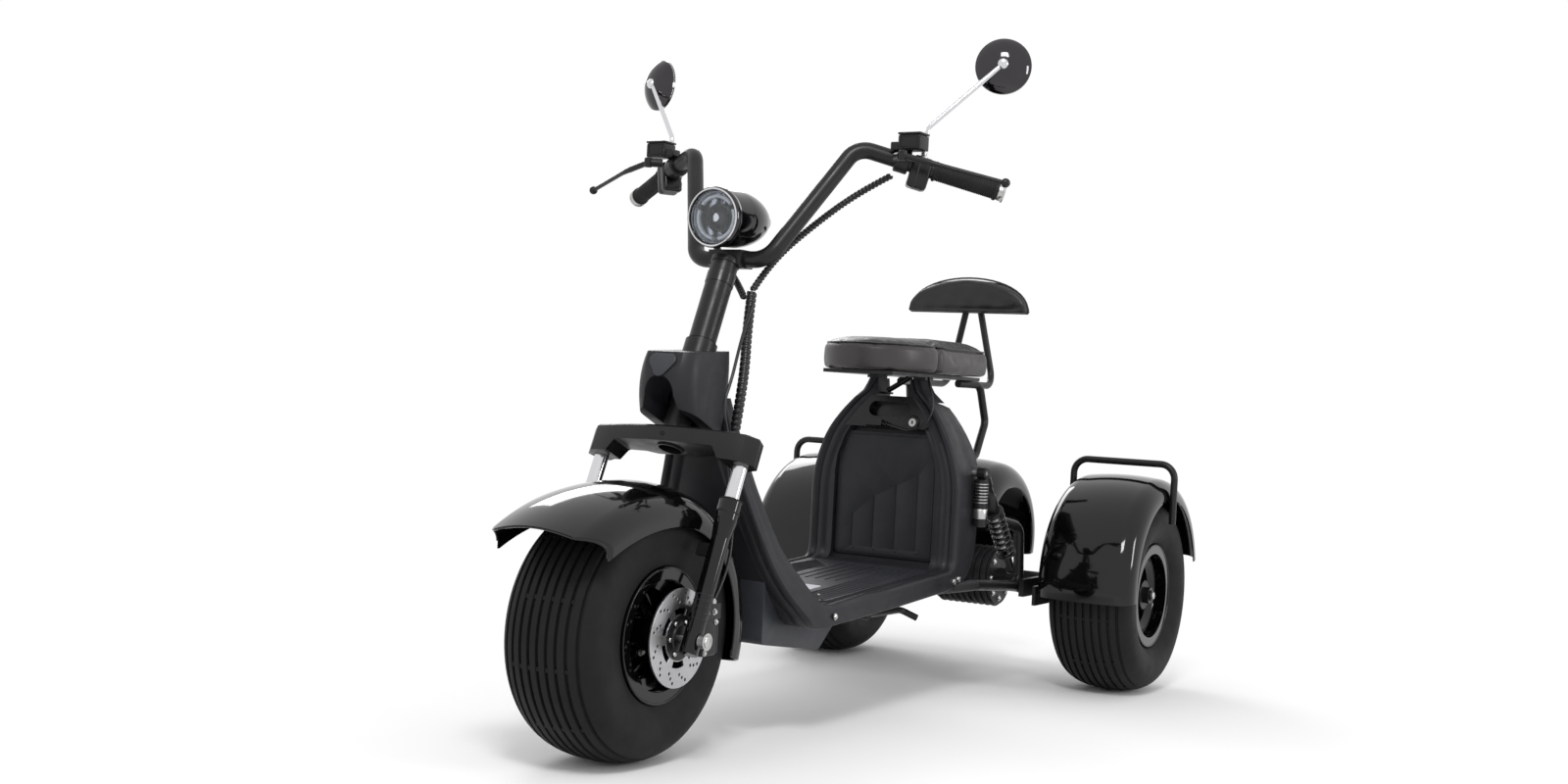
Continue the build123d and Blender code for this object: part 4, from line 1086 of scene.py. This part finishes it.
def make_disc():
    holes = []
    for a in angles(6):
        holes.append(window(0.040, 0.052, a + 0.16, a + 0.88))
        for k in range(3):
            holes.append(hole(0.0032, 0.0635 + 0.007 * k, a + 0.12 + 0.11 * k))
            holes.append(hole(0.0032, 0.0635 + 0.007 * k, a + 0.62 + 0.11 * k))
    piece = plate_with_holes("drilled_disc", 0.0855, holes, 0.004)
    piece.data.transform(Matrix.Translation(AXLE + Vector((0.1246, 0, 0))))
    fit(sharpen(piece, 30), "front_wheel", "brushed_disc", "brake_disc")
    face = AXLE + Vector((0.1266, 0, 0))
    join("disc_bolts", bolt_ring(face, (1, 0, 0), 0.030, 6, 0.008, 0.004), "front_wheel", "zinc")
    profile = [(0, 0.0385), (0.0012, 0.0385), (0.0012, 0.024), (0.004, 0.022), (0.0044, 0.010)]
    fit(turned("disc_carrier", face, AXLE + Vector((0.131, 0, 0)), profile, 48), "front_wheel", "satin_black")


def make_caliper():
    y, z = -REAR_Y, AXLE_HEIGHT
    halves = [
        block("half", (0.1350, y + 0.072, z - 0.004), (0.0132, 0.044, 0.066), 0.005),
        block("half", (0.1143, y + 0.072, z - 0.004), (0.0132, 0.044, 0.066), 0.004),
        block("half", (0.1246, y + 0.0955, z - 0.004), (0.033, 0.008, 0.060), 0.003),
        block("half", (0.1386, y + 0.060, z + 0.040), (0.007, 0.088, 0.028), 0.003),
        turned(
            "half", (0.1400, y + 0.070, z - 0.018), (0.1416, y + 0.070, z - 0.018),
            [(0, 0.014), (0.0014, 0.013), (0.0016, 0.008)], 32
        ),
    ]
    join("caliper_body", halves, "steering", "satin_black", "brake_caliper")
    bolts = []
    for x, v, w, across, height in (
        (0.1412, 0.058, 0.040, 0.008, 0.005),
        (0.1412, 0.082, 0.040, 0.008, 0.005),
        (0.1416, 0.088, 0.022, 0.007, 0.004),
        (0.1416, 0.056, -0.030, 0.007, 0.004),
    ):
        bolts.append(hex_bolt("bolt", (x, y + v, z + w), (1, 0, 0), across, height))
    banjo = [(0, 0.0062), (0.006, 0.0062), (0.006, 0.0045), (0.0085, 0.0042)]
    bolts.append(turned("banjo", (0.1360, -0.640, 0.2815), (0.1360, -0.640, 0.2900), banjo, 24))
    join("caliper_bolts", bolts, "steering", "zinc")


def make_rim_face(name, centre, side, plate_x, hub_radius, body, lugs=6):
    """Dished wheel centre with a raised ring and its nuts."""
    out = Vector((side, 0, 0))
    base = Vector(centre) + out * plate_x
    profile = [
        (0, 0.0826), (0.004, 0.081), (0.006, 0.076), (0.003, 0.070), (0.003, 0.058), (0.010, 0.052),
        (0.012, 0.046), (0.0125, hub_radius + 0.002), (0.0125, 0.010)
    ]
    dish = turned(name, base, base + out * 0.0125, profile, 72)
    fit(dish, body, "gloss_black")
    nuts = bolt_ring(base + out * 0.0115, out, 0.047, lugs, 0.010, 0.007, 0.3)
    join(name + "_nuts", nuts, body, "zinc")


def make_wheel_details():
    wheels = [(AXLE, 0.094, "front_wheel")]
    for side, body in REAR_WHEELS:
        centre = Vector((side * REAR_WHEEL_X, REAR_Y, AXLE_HEIGHT))
        make_rim_face("wheel_centre_" + body, centre, side, 0.0202, 0.034, body)
        wheels.append((centre, 0.082, body))
    make_rim_face("front_wheel_centre_left", AXLE, 1, 0.0162, 0.030, "front_wheel", 5)
    make_rim_face("front_wheel_centre_right", AXLE, -1, -0.0098, 0.030, "front_wheel", 5)
    bead = [(0.0015 * cos(t), 0.1168 + 0.0018 * sin(t)) for t in angles(10)]
    for centre, half, body in wheels:
        lips = [lathe_x("lip", bead, centre + Vector((side * half, 0, 0))) for side in (1, -1)]
        join("rim_lips_" + body, lips, body, "gloss_black")
    axle_ends = []
    for side in (1, -1):
        axle_ends.append(hex_bolt("nut", AXLE + Vector((side * 0.1830, 0, 0)), (side, 0, 0), 0.020, 0.0035))
        axle_ends.append(
            rod("end", AXLE + Vector((side * 0.170, 0, 0)), AXLE + Vector((side * 0.1785, 0, 0)), 0.0078)
        )
    join("front_axle_nuts", axle_ends, "steering", "zinc")
    for side, body in REAR_WHEELS:
        low, high, end = (Vector((side * x, REAR_Y, AXLE_HEIGHT)) for x in (0.4475, 0.4488, 0.4650))
        cap = turned("hub_cap_" + body, low, high, [(0, 0.0335), (0.001, 0.0325), (0.0012, 0.0225)], 40)
        fit(cap, body, "satin_black")
        fit(hex_bolt("axle_nut_" + body, end, (side, 0, 0), 0.016, 0.006), "chassis", "zinc")


# ---------------------------------------------------------------- shock absorbers
def helix(a, b, radius, turns, steps=20):
    side, up, run = along(a, b)
    length = (Vector(b) - Vector(a)).length
    count = int(turns * steps)
    line = []
    for i in range(count + 1):
        t = 2 * pi * i / steps
        line.append(Vector(a) + run * (length * i / count) + side * radius * cos(t) + up * radius * sin(t))
    return line


def shock(side):
    """One rear shock absorber with its side tank: the black parts, the bright parts and the spring."""
    top, low = Vector((side * 0.202, 0.322, 0.500)), Vector((side * 0.202, 0.505, 0.278))
    run = (low - top).normalized()
    at = lambda d: top + run * d
    spring = tube("spring", helix(at(0.114), at(0.236), 0.0182, 7.5), 0.0036, 10)
    barrel = [(0, 0.010), (0.004, 0.0148), (0.030, 0.0148), (0.034, 0.0125)]
    barrel += [(0.060, 0.0125), (0.064, 0.0148), (0.098, 0.0148), (0.102, 0.012)]
    black = [
        turned("body", at(0.006), at(0.108), barrel, 36),
        rod("low", at(0.240), at((low - top).length - 0.006), 0.0095)
    ]
    for d, start, end in ((0.108, 0.016, 0.018), (0.234, 0.018, 0.014)):
        seat = [(0, start), (0.002, 0.0218), (0.006, 0.0218), (0.008, end)]
        black.append(turned("seat", at(d), at(d + 0.008), seat, 36))
    for eye, half, radius in ((top, 0.010, 0.0135), (low, 0.009, 0.0115)):
        across = Vector((side * half, 0, 0))
        black.append(rod("eye", eye - across, eye + across, radius, 0.001, 36))
    first, last = top + Vector((0, -0.004, -0.012)), top + Vector((0, -0.002, -0.118))
    black.append(
        turned("tank", first, last, [(0, 0.010), (0.003, 0.0155), (0.103, 0.0155), (0.1060, 0.011)], 36)
    )
    black.append(block("tab", (side * 0.174, 0.336, 0.500), (0.0078, 0.0435, 0.0295), 0.002))
    down = (last - first).normalized()
    bands = [(0.010 + 0.0068 * k, 0.0026, 0.0006) for k in range(7)] + [(0.066, 0.022, 0.001)]
    bright = [rod("shaft", at(0.040), at(0.250), 0.0088)]
    for d, long, edge in bands:
        ring = [(0, 0.0154), (edge, 0.0160), (long - edge, 0.0160), (long, 0.0154)]
        bright.append(turned("ring", first + down * d, first + down * (d + long), ring, 36))
    bright.append(rod("pin", (side * 0.1725, top.y, top.z), (side * 0.2115, top.y, top.z), 0.0078))
    bright.append(hex_bolt("bolt", (side * 0.2090, top.y, top.z), (side, 0, 0), 0.012, 0.0032))
    return black, bright, [spring]


def make_shocks():
    black, bright, springs = (a + b for a, b in zip(shock(1), shock(-1)))
    join("shock_bodies", black, "chassis", "satin_black", "shock_absorbers")
    join("shock_springs", springs, "chassis", "gloss_black")
    join("shock_bright_parts", bright, "chassis", "zinc")


# ---------------------------------------------------------------- headlight
def make_headlight():
    aim = Vector((0, -1, -0.05)).normalized()
    face = Vector((0, -0.493, 0.975))
    at = lambda d: face + aim * d
    bowl = [(0, 0.0492), (0.001, 0.0485), (0.010, 0.044), (0.022, 0.036), (0.036, 0.026), (0.045, 0.022)]
    back = [(d + 0.0008, r + 0.0006) for d, r in reversed(bowl)]
    fit(turned("reflector", at(0.001), at(-0.045), bowl + back, 64, ring=True), "steering", "bright_chrome")
    ball = turned(
        "projector", at(-0.018), at(0.0005),
        [(0, 0.0215), (0.008, 0.0215), (0.011, 0.0195), (0.0145, 0.0150), (0.0172, 0.008), (0.0182, 0.003)],
        48
    )
    fit(ball, "steering", "gloss_black")
    eye = turned(
        "projector_eye", at(0.0002), at(0.0016),
        [(0, 0.0085), (0.0008, 0.0078), (0.0013, 0.0050), (0.0014, 0.0020)], 32
    )
    fit(eye, "steering", "bright_chrome")
    collar = [(0, 0.0262), (0.006, 0.0262), (0.009, 0.0240), (0.010, 0.0226), (0.0095, 0.0216), (0, 0.0216)]
    fit(turned("projector_ring", at(-0.014), at(-0.004), collar, 48, ring=True), "steering", "gloss_black")
    arcs = []
    for k in range(3):
        start, end = radians(90 + 120 * k + 9), radians(90 + 120 * k + 111)
        side, up, _ = along(face, at(0.1))
        line = [
            at(-0.0035) + (side * cos(a) + up * sin(a)) * 0.0395
            for a in (start + (end - start) * i / 24 for i in range(25))
        ]
        arcs.append(tube("arc", line, 0.0052, 10, 0.7))
    halo = merge("halo_ring", arcs)
    fit(halo, "steering", "plate_aluminium")
    paint(halo, HALO)
    lip = [
        (0, 0.0574), (0.003, 0.0575), (0.008, 0.0572), (0.0112, 0.0555), (0.0120, 0.0530), (0.0108, 0.0505),
        (0.0072, 0.0496), (0.0002, 0.0495)
    ]
    fit(
        turned("bezel_lip", at(0.0002), at(0.012), lip, 96, ring=True), "steering", "dark_chrome",
        "headlight_bezel"
    )
    edge = [(0.0112, 0.0548), (0.0124, 0.0538), (0.0122, 0.0518), (0.0110, 0.0512)]
    fit(turned("bezel_edge", at(0.0002), at(0.012), edge, 96, ring=True), "steering", "bright_chrome")
    band = [(0, 0.0540), (0, 0.0548), (0.001, 0.0558), (0.004, 0.0558), (0.005, 0.0548), (0.005, 0.0540)]
    fit(turned("shell_band", at(-0.0065), at(-0.0015), band, 96, ring=True), "steering", "bright_chrome")
    tail = turned(
        "shell_tail", at(-0.1625), at(-0.1672),
        [(0, 0.0205), (0.002, 0.0175), (0.0040, 0.0125), (0.0047, 0.0075)], 32
    )
    fit(tail, "steering", "dark_chrome")


# ---------------------------------------------------------------- handlebar controls
# The left grip's end, the bar's bend behind it, and how far in from the end the switch pod sits.
BAR_END, BAR_BEND = Vector((0.419, -0.161, 1.060)), Vector((0.186, -0.300, 1.130))
BAR_RUN = (BAR_END - BAR_BEND).normalized()
POD = 0.152


def both_sides(name, pieces, body, slot, *replaced):
    """Fits a group of pieces on the left and its mirror copy on the right as one object."""
    left = merge(name + "_left", pieces)
    right = mirrored(left, name + "_right")
    return join(name, [left, right], body, slot, *replaced)


def bar_at(d):
    """Place on the left grip's axis, d in from the bar's end."""
    return BAR_END - BAR_RUN * d


def make_grips():
    profile = [(0, 0.0185), (0.002, 0.0195), (0.0045, 0.0195), (0.006, 0.0172)]
    d = 0.008
    while d < 0.118:
        profile += [(d, 0.0172), (d + 0.0006, 0.0165), (d + 0.0018, 0.0165), (d + 0.0024, 0.0172)]
        d += 0.0042
    profile += [(0.120, 0.0172), (0.1215, 0.0188), (0.1255, 0.0190), (0.1275, 0.0172)]
    grip = turned("grip", bar_at(0.128), bar_at(0.0005), profile, 48)
    both_sides("grip_sleeves", [grip], "steering", "grip_rubber", "grips")
    flare = [
        (0, 0.0150), (0.0010, 0.0166), (0.0085, 0.0172), (0.0105, 0.0190), (0.0125, 0.0190),
        (0.0136, 0.0170), (0.0128, 0.0085)
    ]
    cap = turned("cap", bar_at(0.0002), BAR_END + BAR_RUN * 0.0138, flare, 40)
    both_sides("grip_caps", [cap], "steering", "zinc")


def make_switches():
    pod = bar_at(POD)
    across = Vector((0, 0, 1)).cross(BAR_RUN).normalized()
    turn = Matrix((BAR_RUN, across, BAR_RUN.cross(across).normalized())).transposed()
    local = lambda x, y, z: pod + turn @ Vector((x, y, z))
    case = []
    for x, size, bevel in (
        (-0.0102, (0.0184, 0.0415, 0.0625), 0.008),
        (0.0102, (0.0184, 0.0405, 0.0610), 0.008),
        (0.0, (0.030, 0.0385, 0.0590), 0.007),
    ):
        case.append(block("case", local(x, 0, -0.0125), size, bevel, turn, 4))
    both_sides("switch_cases", case, "steering", "gloss_plastic", "switch_housings")
    keys = [block("key", local(0.0, 0, -0.0415), (0.026, 0.028, 0.0045), 0.002, turn)]
    for place, wide, high in (
        ((-0.0098, 0.0203, 0.006), 0.011, 0.008),
        ((-0.0098, 0.0203, -0.010), 0.011, 0.010),
        ((-0.0098, 0.0203, -0.026), 0.008, 0.008),
        ((0.0102, 0.0198, -0.004), 0.010, 0.014),
    ):
        keys.append(block("key", local(*place), (wide, 0.0035, high), 0.0012, turn))
    both_sides("switch_keys", keys, "steering", "grey_panel")


def make_levers():
    """Brake lever, its perch with the fluid tank, and the mirror's foot on the switch pod."""
    perch = bar_at(0.190)
    tank_at = perch + BAR_RUN * 0.036 + Vector((0, -0.034, 0.042))
    place = lambda x, y, z: perch + Vector((x, y, z))
    tank_place = lambda x, y, z: tank_at + Vector((x, y, z))
    tank = [
        block("tank", tank_place(0, 0, -0.002), (0.0470, 0.0390, 0.0290), 0.004),
        block("tank", tank_place(0, 0, 0.0148), (0.0478, 0.0398, 0.0040), 0.0012, None, 2),
        block("tank", tank_place(-0.026, -0.002, -0.008), (0.0290, 0.0290, 0.0155), 0.003),
        turned(
            "tank", perch - BAR_RUN * 0.0138, perch + BAR_RUN * 0.0138,
            [(0, 0.0205), (0.002, 0.0228), (0.0256, 0.0228), (0.0276, 0.0205)], 40
        ),
        rod("tank", place(0.008, -0.040, 0.002), place(0.026, -0.056, 0.002), 0.0088),
        rod(
            "tank", tank_place(-0.014, -0.0170, -0.006), tank_place(-0.014, -0.0205, -0.006), 0.0085, 0.001,
            24
        ),
    ]
    flat, upright = (0.034, 0.0022, 0.0018), (0.0018, 0.0022, 0.0212)
    for x, z, size in (
        (0, 0.0092, flat), (0, -0.0102, flat), (0.0168, -0.0005, upright), (-0.0168, -0.0005, upright)
    ):
        tank.append(block("border", tank_place(x, -0.0194, z), size, 0.0005, None, 2))
    start = place(0.030, -0.058, 0.002)
    tip = Vector((0.475, -0.252, 1.063))
    bend = start + (tip - start) * 0.35 + Vector((0, -0.012, 0))
    line = rounded([start, bend, tip], 0.12, 12)
    blade = tube("lever", line, lambda t: 0.0060 - 0.0018 * t, 16)
    knob = 0.0088
    bow = [(knob * (1 - cos(t)), knob * sin(t)) for t in (0.12 + (pi - 0.24) * i / 12 for i in range(13))]
    ball = turned("ball", tip - BAR_RUN * knob, tip + BAR_RUN * knob, bow, 24)
    hinge = rod("hinge", start + Vector((0, 0, -0.0095)), start + Vector((0, 0, 0.0095)), 0.0085, 0.0015, 24)
    both_sides("lever_sets", tank + [blade, ball, hinge], "steering", "satin_black", "brake_levers")
    head = [(0, 0.0036), (0.001, 0.0034), (0.0016, 0.0020)]
    screws = []
    for x, y in ((-0.016, -0.012), (0.016, 0.012)):
        screws.append(turned("screw", tank_place(x, y, 0.0166), tank_place(x, y, 0.0182), head, 16))
    foot = bar_at(POD) + Vector((0, 0.006, 0.0185))
    lean = Vector((0.004, 0.004, 0.062)).normalized()
    nut = [hex_bolt("nut", foot, lean, 0.0130, 0.0065), rod("nut", foot, foot + lean * 0.016, 0.0062)]
    both_sides("control_fasteners", screws + nut, "steering", "zinc")


def make_mirror_trim():
    mirror_at, out = Vector((0.402, -0.127, 1.304)), Vector((-0.40, 1, -0.05)).normalized()
    rim = [
        (0, 0.0540), (0.0010, 0.0540), (0.0035, 0.0538), (0.0040, 0.0525), (0.0038, 0.0503),
        (0.0015, 0.0500), (0, 0.0505)
    ]
    ring = turned("mirror_rim", mirror_at - out * 0.0040, mirror_at, rim, 72, ring=True)
    joint = turned(
        "mirror_joint", mirror_at - out * 0.0275, mirror_at - out * 0.0340,
        [(0, 0.0110), (0.003, 0.0100), (0.0055, 0.0075), (0.0065, 0.0050)], 28
    )
    both_sides("mirror_rims", [ring, joint], "steering", "bright_chrome")


# ---------------------------------------------------------------- edge beads and small fittings
def surface(node, start, direction):
    """Where a line from start first meets a solid, and the solid's normal there."""
    solid = nodes[node]
    verts = [solid.matrix_world @ v.co for v in solid.data.vertices]
    tree = BVHTree.FromPolygons(verts, [tuple(face.vertices) for face in solid.data.polygons])
    spot, normal, _, _ = tree.ray_cast(Vector(start), Vector(direction).normalized())
    if spot is None:
        raise ValueError("no surface of " + node + " in line")
    return spot, normal if normal.dot(Vector(direction)) < 0 else -normal


def bolt_on(node, start, direction, across=0.010, height=0.004):
    spot, normal = surface(node, start, direction)
    return hex_bolt("bolt", spot - normal * 0.0002, normal, across, height)


def sharp_chains(node, degrees_over=55):
    """Chains of hard edges on a solid's surface, as lists of points, in the order of the mesh's edges."""
    work = bmesh.new()
    work.from_mesh(node.data)
    bmesh.ops.remove_doubles(work, verts=work.verts, dist=0.00002)
    hard = [e for e in work.edges if len(e.link_faces) == 2 and e.calc_face_angle(0) > radians(degrees_over)]
    left = set(hard)
    chains = []
    for edge in hard:
        if edge not in left:
            continue
        left.discard(edge)
        chain = [edge.verts[0], edge.verts[1]]
        growing = True
        while growing:
            growing = False
            for e in chain[-1].link_edges:
                if e in left:
                    left.discard(e)
                    chain.append(e.other_vert(chain[-1]))
                    growing = True
                    break
        chains.append([node.matrix_world @ v.co for v in chain])
    work.free()
    return chains


def length_of(line):
    return sum((b - a).length for a, b in zip(line, line[1:]))


def edge_bead(name, node, body, slot, radius, count):
    """Rolled bead along the rim of a fender."""
    chains = [c for c in sharp_chains(nodes[node]) if length_of(c) > 0.35]
    beads = []
    for chain in sorted(chains, key=length_of, reverse=True)[:count]:
        line = spaced(chain, 0.008)
        line = [(a + b * 2 + c) / 4 for a, b, c in zip(line, line[1:], line[2:])]
        if (line[0] - line[-1]).length < 0.03:
            line.append(line[0])
        beads.append(tube("bead", line, radius, 8))
    return join(name, beads, body, slot)


def make_fender_trim():
    edge_bead("front_fender_bead", "front_fender", "steering", "gloss_black", 0.0019, 1)
    edge_bead("rear_fender_beads", "rear_fenders", "chassis", "gloss_black", 0.0019, 2)
    edge_bead("centre_fender_bead", "centre_fender", "chassis", "gloss_black", 0.0019, 1)
    bolts = [bolt_on("centre_fender", (0.07, 0.40, 0.45), (0, 1, 0), 0.009, 0.004)]
    for side in (1, -1):
        for y in (0.702, 0.728):
            bolts.append(bolt_on("fender_brackets", (side * 0.15, y, 0.440), (side, 0, 0)))
        for dx in (-0.03, 0.03):
            start = (side * REAR_WHEEL_X + dx, 1.10, 0.3505)
            bolts.append(bolt_on("rear_fenders", start, (0, -1, 0), 0.009, 0.004))
    join("fender_bolts", bolts, "chassis", "zinc")


FORK_X = 0.153


def make_fork_trim():
    slits, rims = [], []
    slit = [(0, 0.01655), (0.0006, 0.01705), (0.0019, 0.01705), (0.0025, 0.01655)]
    wiper = [(0, 0.0200), (0.0015, 0.0208), (0.004, 0.0200), (0.006, 0.0150)]
    collar = [(0, 0.0209), (0.0012, 0.0216), (0.0028, 0.0216), (0.004, 0.0209)]
    for x in (FORK_X, -FORK_X):
        for w in range(5):
            low, high = fork(x, 0, 0.034 + 0.011 * w), fork(x, 0, 0.0365 + 0.011 * w)
            slits.append(turned("slit", low, high, slit, 36))
        rims.append(turned("wiper", fork(x, 0, 0.2515), fork(x, 0, 0.2575), wiper, 36))
        rims.append(turned("collar", fork(x, 0, 0.2290), fork(x, 0, 0.2330), collar, 36))
    join("fork_rings", slits, "steering", "satin_black")
    join("fork_wipers", rims, "steering", "grip_rubber")
    bolts = [
        hex_bolt("bolt", fork(x, 0, 0.3715), (0, sin(RAKE), cos(RAKE)), 0.018, 0.006)
        for x in (FORK_X, -FORK_X)
    ]
    bolts += [
        hex_bolt("bolt", fork(side * 0.1435, -0.002, 0.161), (-side, 0, 0), 0.008, 0.002)
        for side in (1, -1)
    ]
    join("crown_bolts", bolts, "steering", "zinc")
    plug = [(0, 0.0045), (0.0012, 0.0045), (0.0016, 0.003), (0.0006, 0.0025)]
    dowel = turned("crown_plug", fork(0, -0.0458, 0.3545), fork(0, -0.0480, 0.3545), plug, 24)
    fit(dowel, "steering", "grip_rubber")


def floor_top(y):
    """Height of the floor mat's upper face."""
    return 0.250 + (y + 0.318) * 36 / 558 + 0.0042


def make_floor_trim():
    ridges = []
    for side in (1, -1):
        for k in range(6):
            x, rear = 0.138 - 0.0115 * k, 0.168 - 0.012 * k
            line = [
                (x, -0.258 + 0.004 * k), (x + 0.002, -0.150), (x, -0.030), (x - 0.004, 0.080),
                (x - 0.016, rear)
            ]
            path = [Vector((side * px, y, floor_top(y) + 0.0002)) for px, y in line]
            ridges.append(tube("ridge", rounded(path, 0.20, 6), 0.0019, 8))
    for k in range(3):
        reach = 0.056 - 0.017 * k
        line = [
            (-0.006 - 0.017 * k, -0.262), (-0.006 - 0.017 * k, -0.262 + reach + 0.020),
            (-0.062, -0.262 + reach + 0.020)
        ]
        path = [Vector((x, y, floor_top(y) + 0.0004)) for x, y in line]
        ridges.append(tube("ridge", rounded(path, 0.006, 4), 0.0026, 8))
    for k in range(5):
        x = -0.048 + 0.024 * k
        path = [Vector((x, y, floor_top(y) + 0.0001)) for y in (-0.045, 0.040, 0.130, 0.180 - 0.004 * k)]
        ridges.append(tube("ridge", path, 0.0014, 8))
    join("mat_ridges", ridges, "chassis", "mat_rubber")
    studs = [bolt_on("floor_mat", (side * 0.105, -0.215, 0.40), (0, 0, -1), 0.006, 0.003) for side in (1, -1)]
    join("mat_screws", studs, "chassis", "zinc")


def make_battery_trim():
    """Light dots at the lower ends of the case's grooves, and a raised border around its face."""
    dots = []
    for x in (-0.080, -0.027, 0.027, 0.080):
        spot, normal = surface(
            "battery_case", (x + 0.004, 0.10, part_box("battery_case")[0].z + 0.016), (0, 1, 0)
        )
        dot = [(0, 0.0034), (0.0008, 0.0034), (0.0014, 0.0024)]
        dots.append(turned("dot", spot - normal * 0.0003, spot + normal * 0.0012, dot, 20))
    join("battery_dots", dots, "chassis", "cast_aluminium")
    low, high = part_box("battery_case")
    spot, _ = surface("battery_case", (0.05, 0.10, (low.z + high.z) / 2), (0, 1, 0))
    front, inset = spot.y - 0.0002, 0.006
    wide = high.x - inset
    corner, shoulder = 0.010, 0.030
    path = [
        (-wide, low.z + 0.20), (-wide, low.z + inset), (wide, low.z + inset),
        (wide, high.z - inset - shoulder), (wide - 0.020, high.z - inset)
    ]
    path += [(-wide + 0.020, high.z - inset), (-wide, high.z - inset - shoulder), (-wide, low.z + 0.20)]
    line = rounded([Vector((x, front, z)) for x, z in path], corner, 4)
    fit(tube("battery_border", line, 0.0013, 6), "chassis", "body_plastic")


def make_shell_trim():
    """Screws that hold the shell to the frame, seen along its lower edge and at its rear corner."""
    bolts = []
    for side in (1, -1):
        for y, z in ((0.262, 0.268), (0.240, 0.264)):
            bolts.append(bolt_on("body_shell", (side * 0.30, y, z), (-side, 0, 0), 0.011, 0.005))
        bolts.append(bolt_on("body_shell", (side * 0.30, -0.285, 0.233), (-side, 0, 0), 0.009, 0.004))
    join("shell_bolts", bolts, "chassis", "zinc")
    band = [(0, 0.0262), (0.0006, 0.0272), (0.022, 0.0272), (0.0226, 0.0262)]
    low, high = fork(0, -0.0087, 0.672), fork(0, -0.0087, 0.6946)
    fit(turned("stem_band", low, high, band, 48), "steering", "gloss_plastic")


def make_lock_trim():
    low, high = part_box("key_lock")
    middle = (low + high) / 2
    out = Vector((0, -LEAN, REST))
    collar = [(0, 0.0165), (0.0055, 0.0160), (0.0075, 0.0140), (0.0075, 0.0100), (0.004, 0.0098), (0, 0.0098)]
    ring = turned("lock_surround", middle - out * 0.004, middle + out * 0.0035, collar, 40, ring=True)
    fit(ring, "chassis", "gloss_plastic")
    slot = block("key_slot", middle + out * ((high - low).y * 0.5 + 0.0002), (0.0016, 0.0012, 0.0075), 0.0003)
    fit(slot, "chassis", "grip_rubber")


def make_motor_trim():
    fins, centre_z = [], 0.2335
    fin = [(0, 0.0675), (0.001, 0.0735), (0.003, 0.0735), (0.004, 0.0675)]
    for k in range(9):
        x = -0.062 + 0.0165 * k
        fins.append(turned("fin", (x, REAR_Y, centre_z), (x + 0.004, REAR_Y, centre_z), fin, 64))
    join("motor_fins", fins, "chassis", "cast_aluminium")
    bolts = bolt_ring((0.0802, REAR_Y, centre_z), (1, 0, 0), 0.054, 8, 0.009, 0.005)
    join("motor_bolts", bolts, "chassis", "zinc")


aim_camera()
studio()
dress_nodes()
make_eased()
make_cords()
make_body()
make_seats()
make_backrest()
make_disc()
make_caliper()
make_wheel_details()
make_shocks()
make_headlight()
make_grips()
make_switches()
make_levers()
make_mirror_trim()
make_fender_trim()
make_fork_trim()
make_floor_trim()
make_lock_trim()
make_battery_trim()
make_shell_trim()
make_motor_trim()
make_tyre("tyre_front", "front_wheel", 0.090)
make_tyre("tyre_left", "rear_wheel_left", 0.078)
make_tyre("tyre_right", "rear_wheel_right", 0.078)
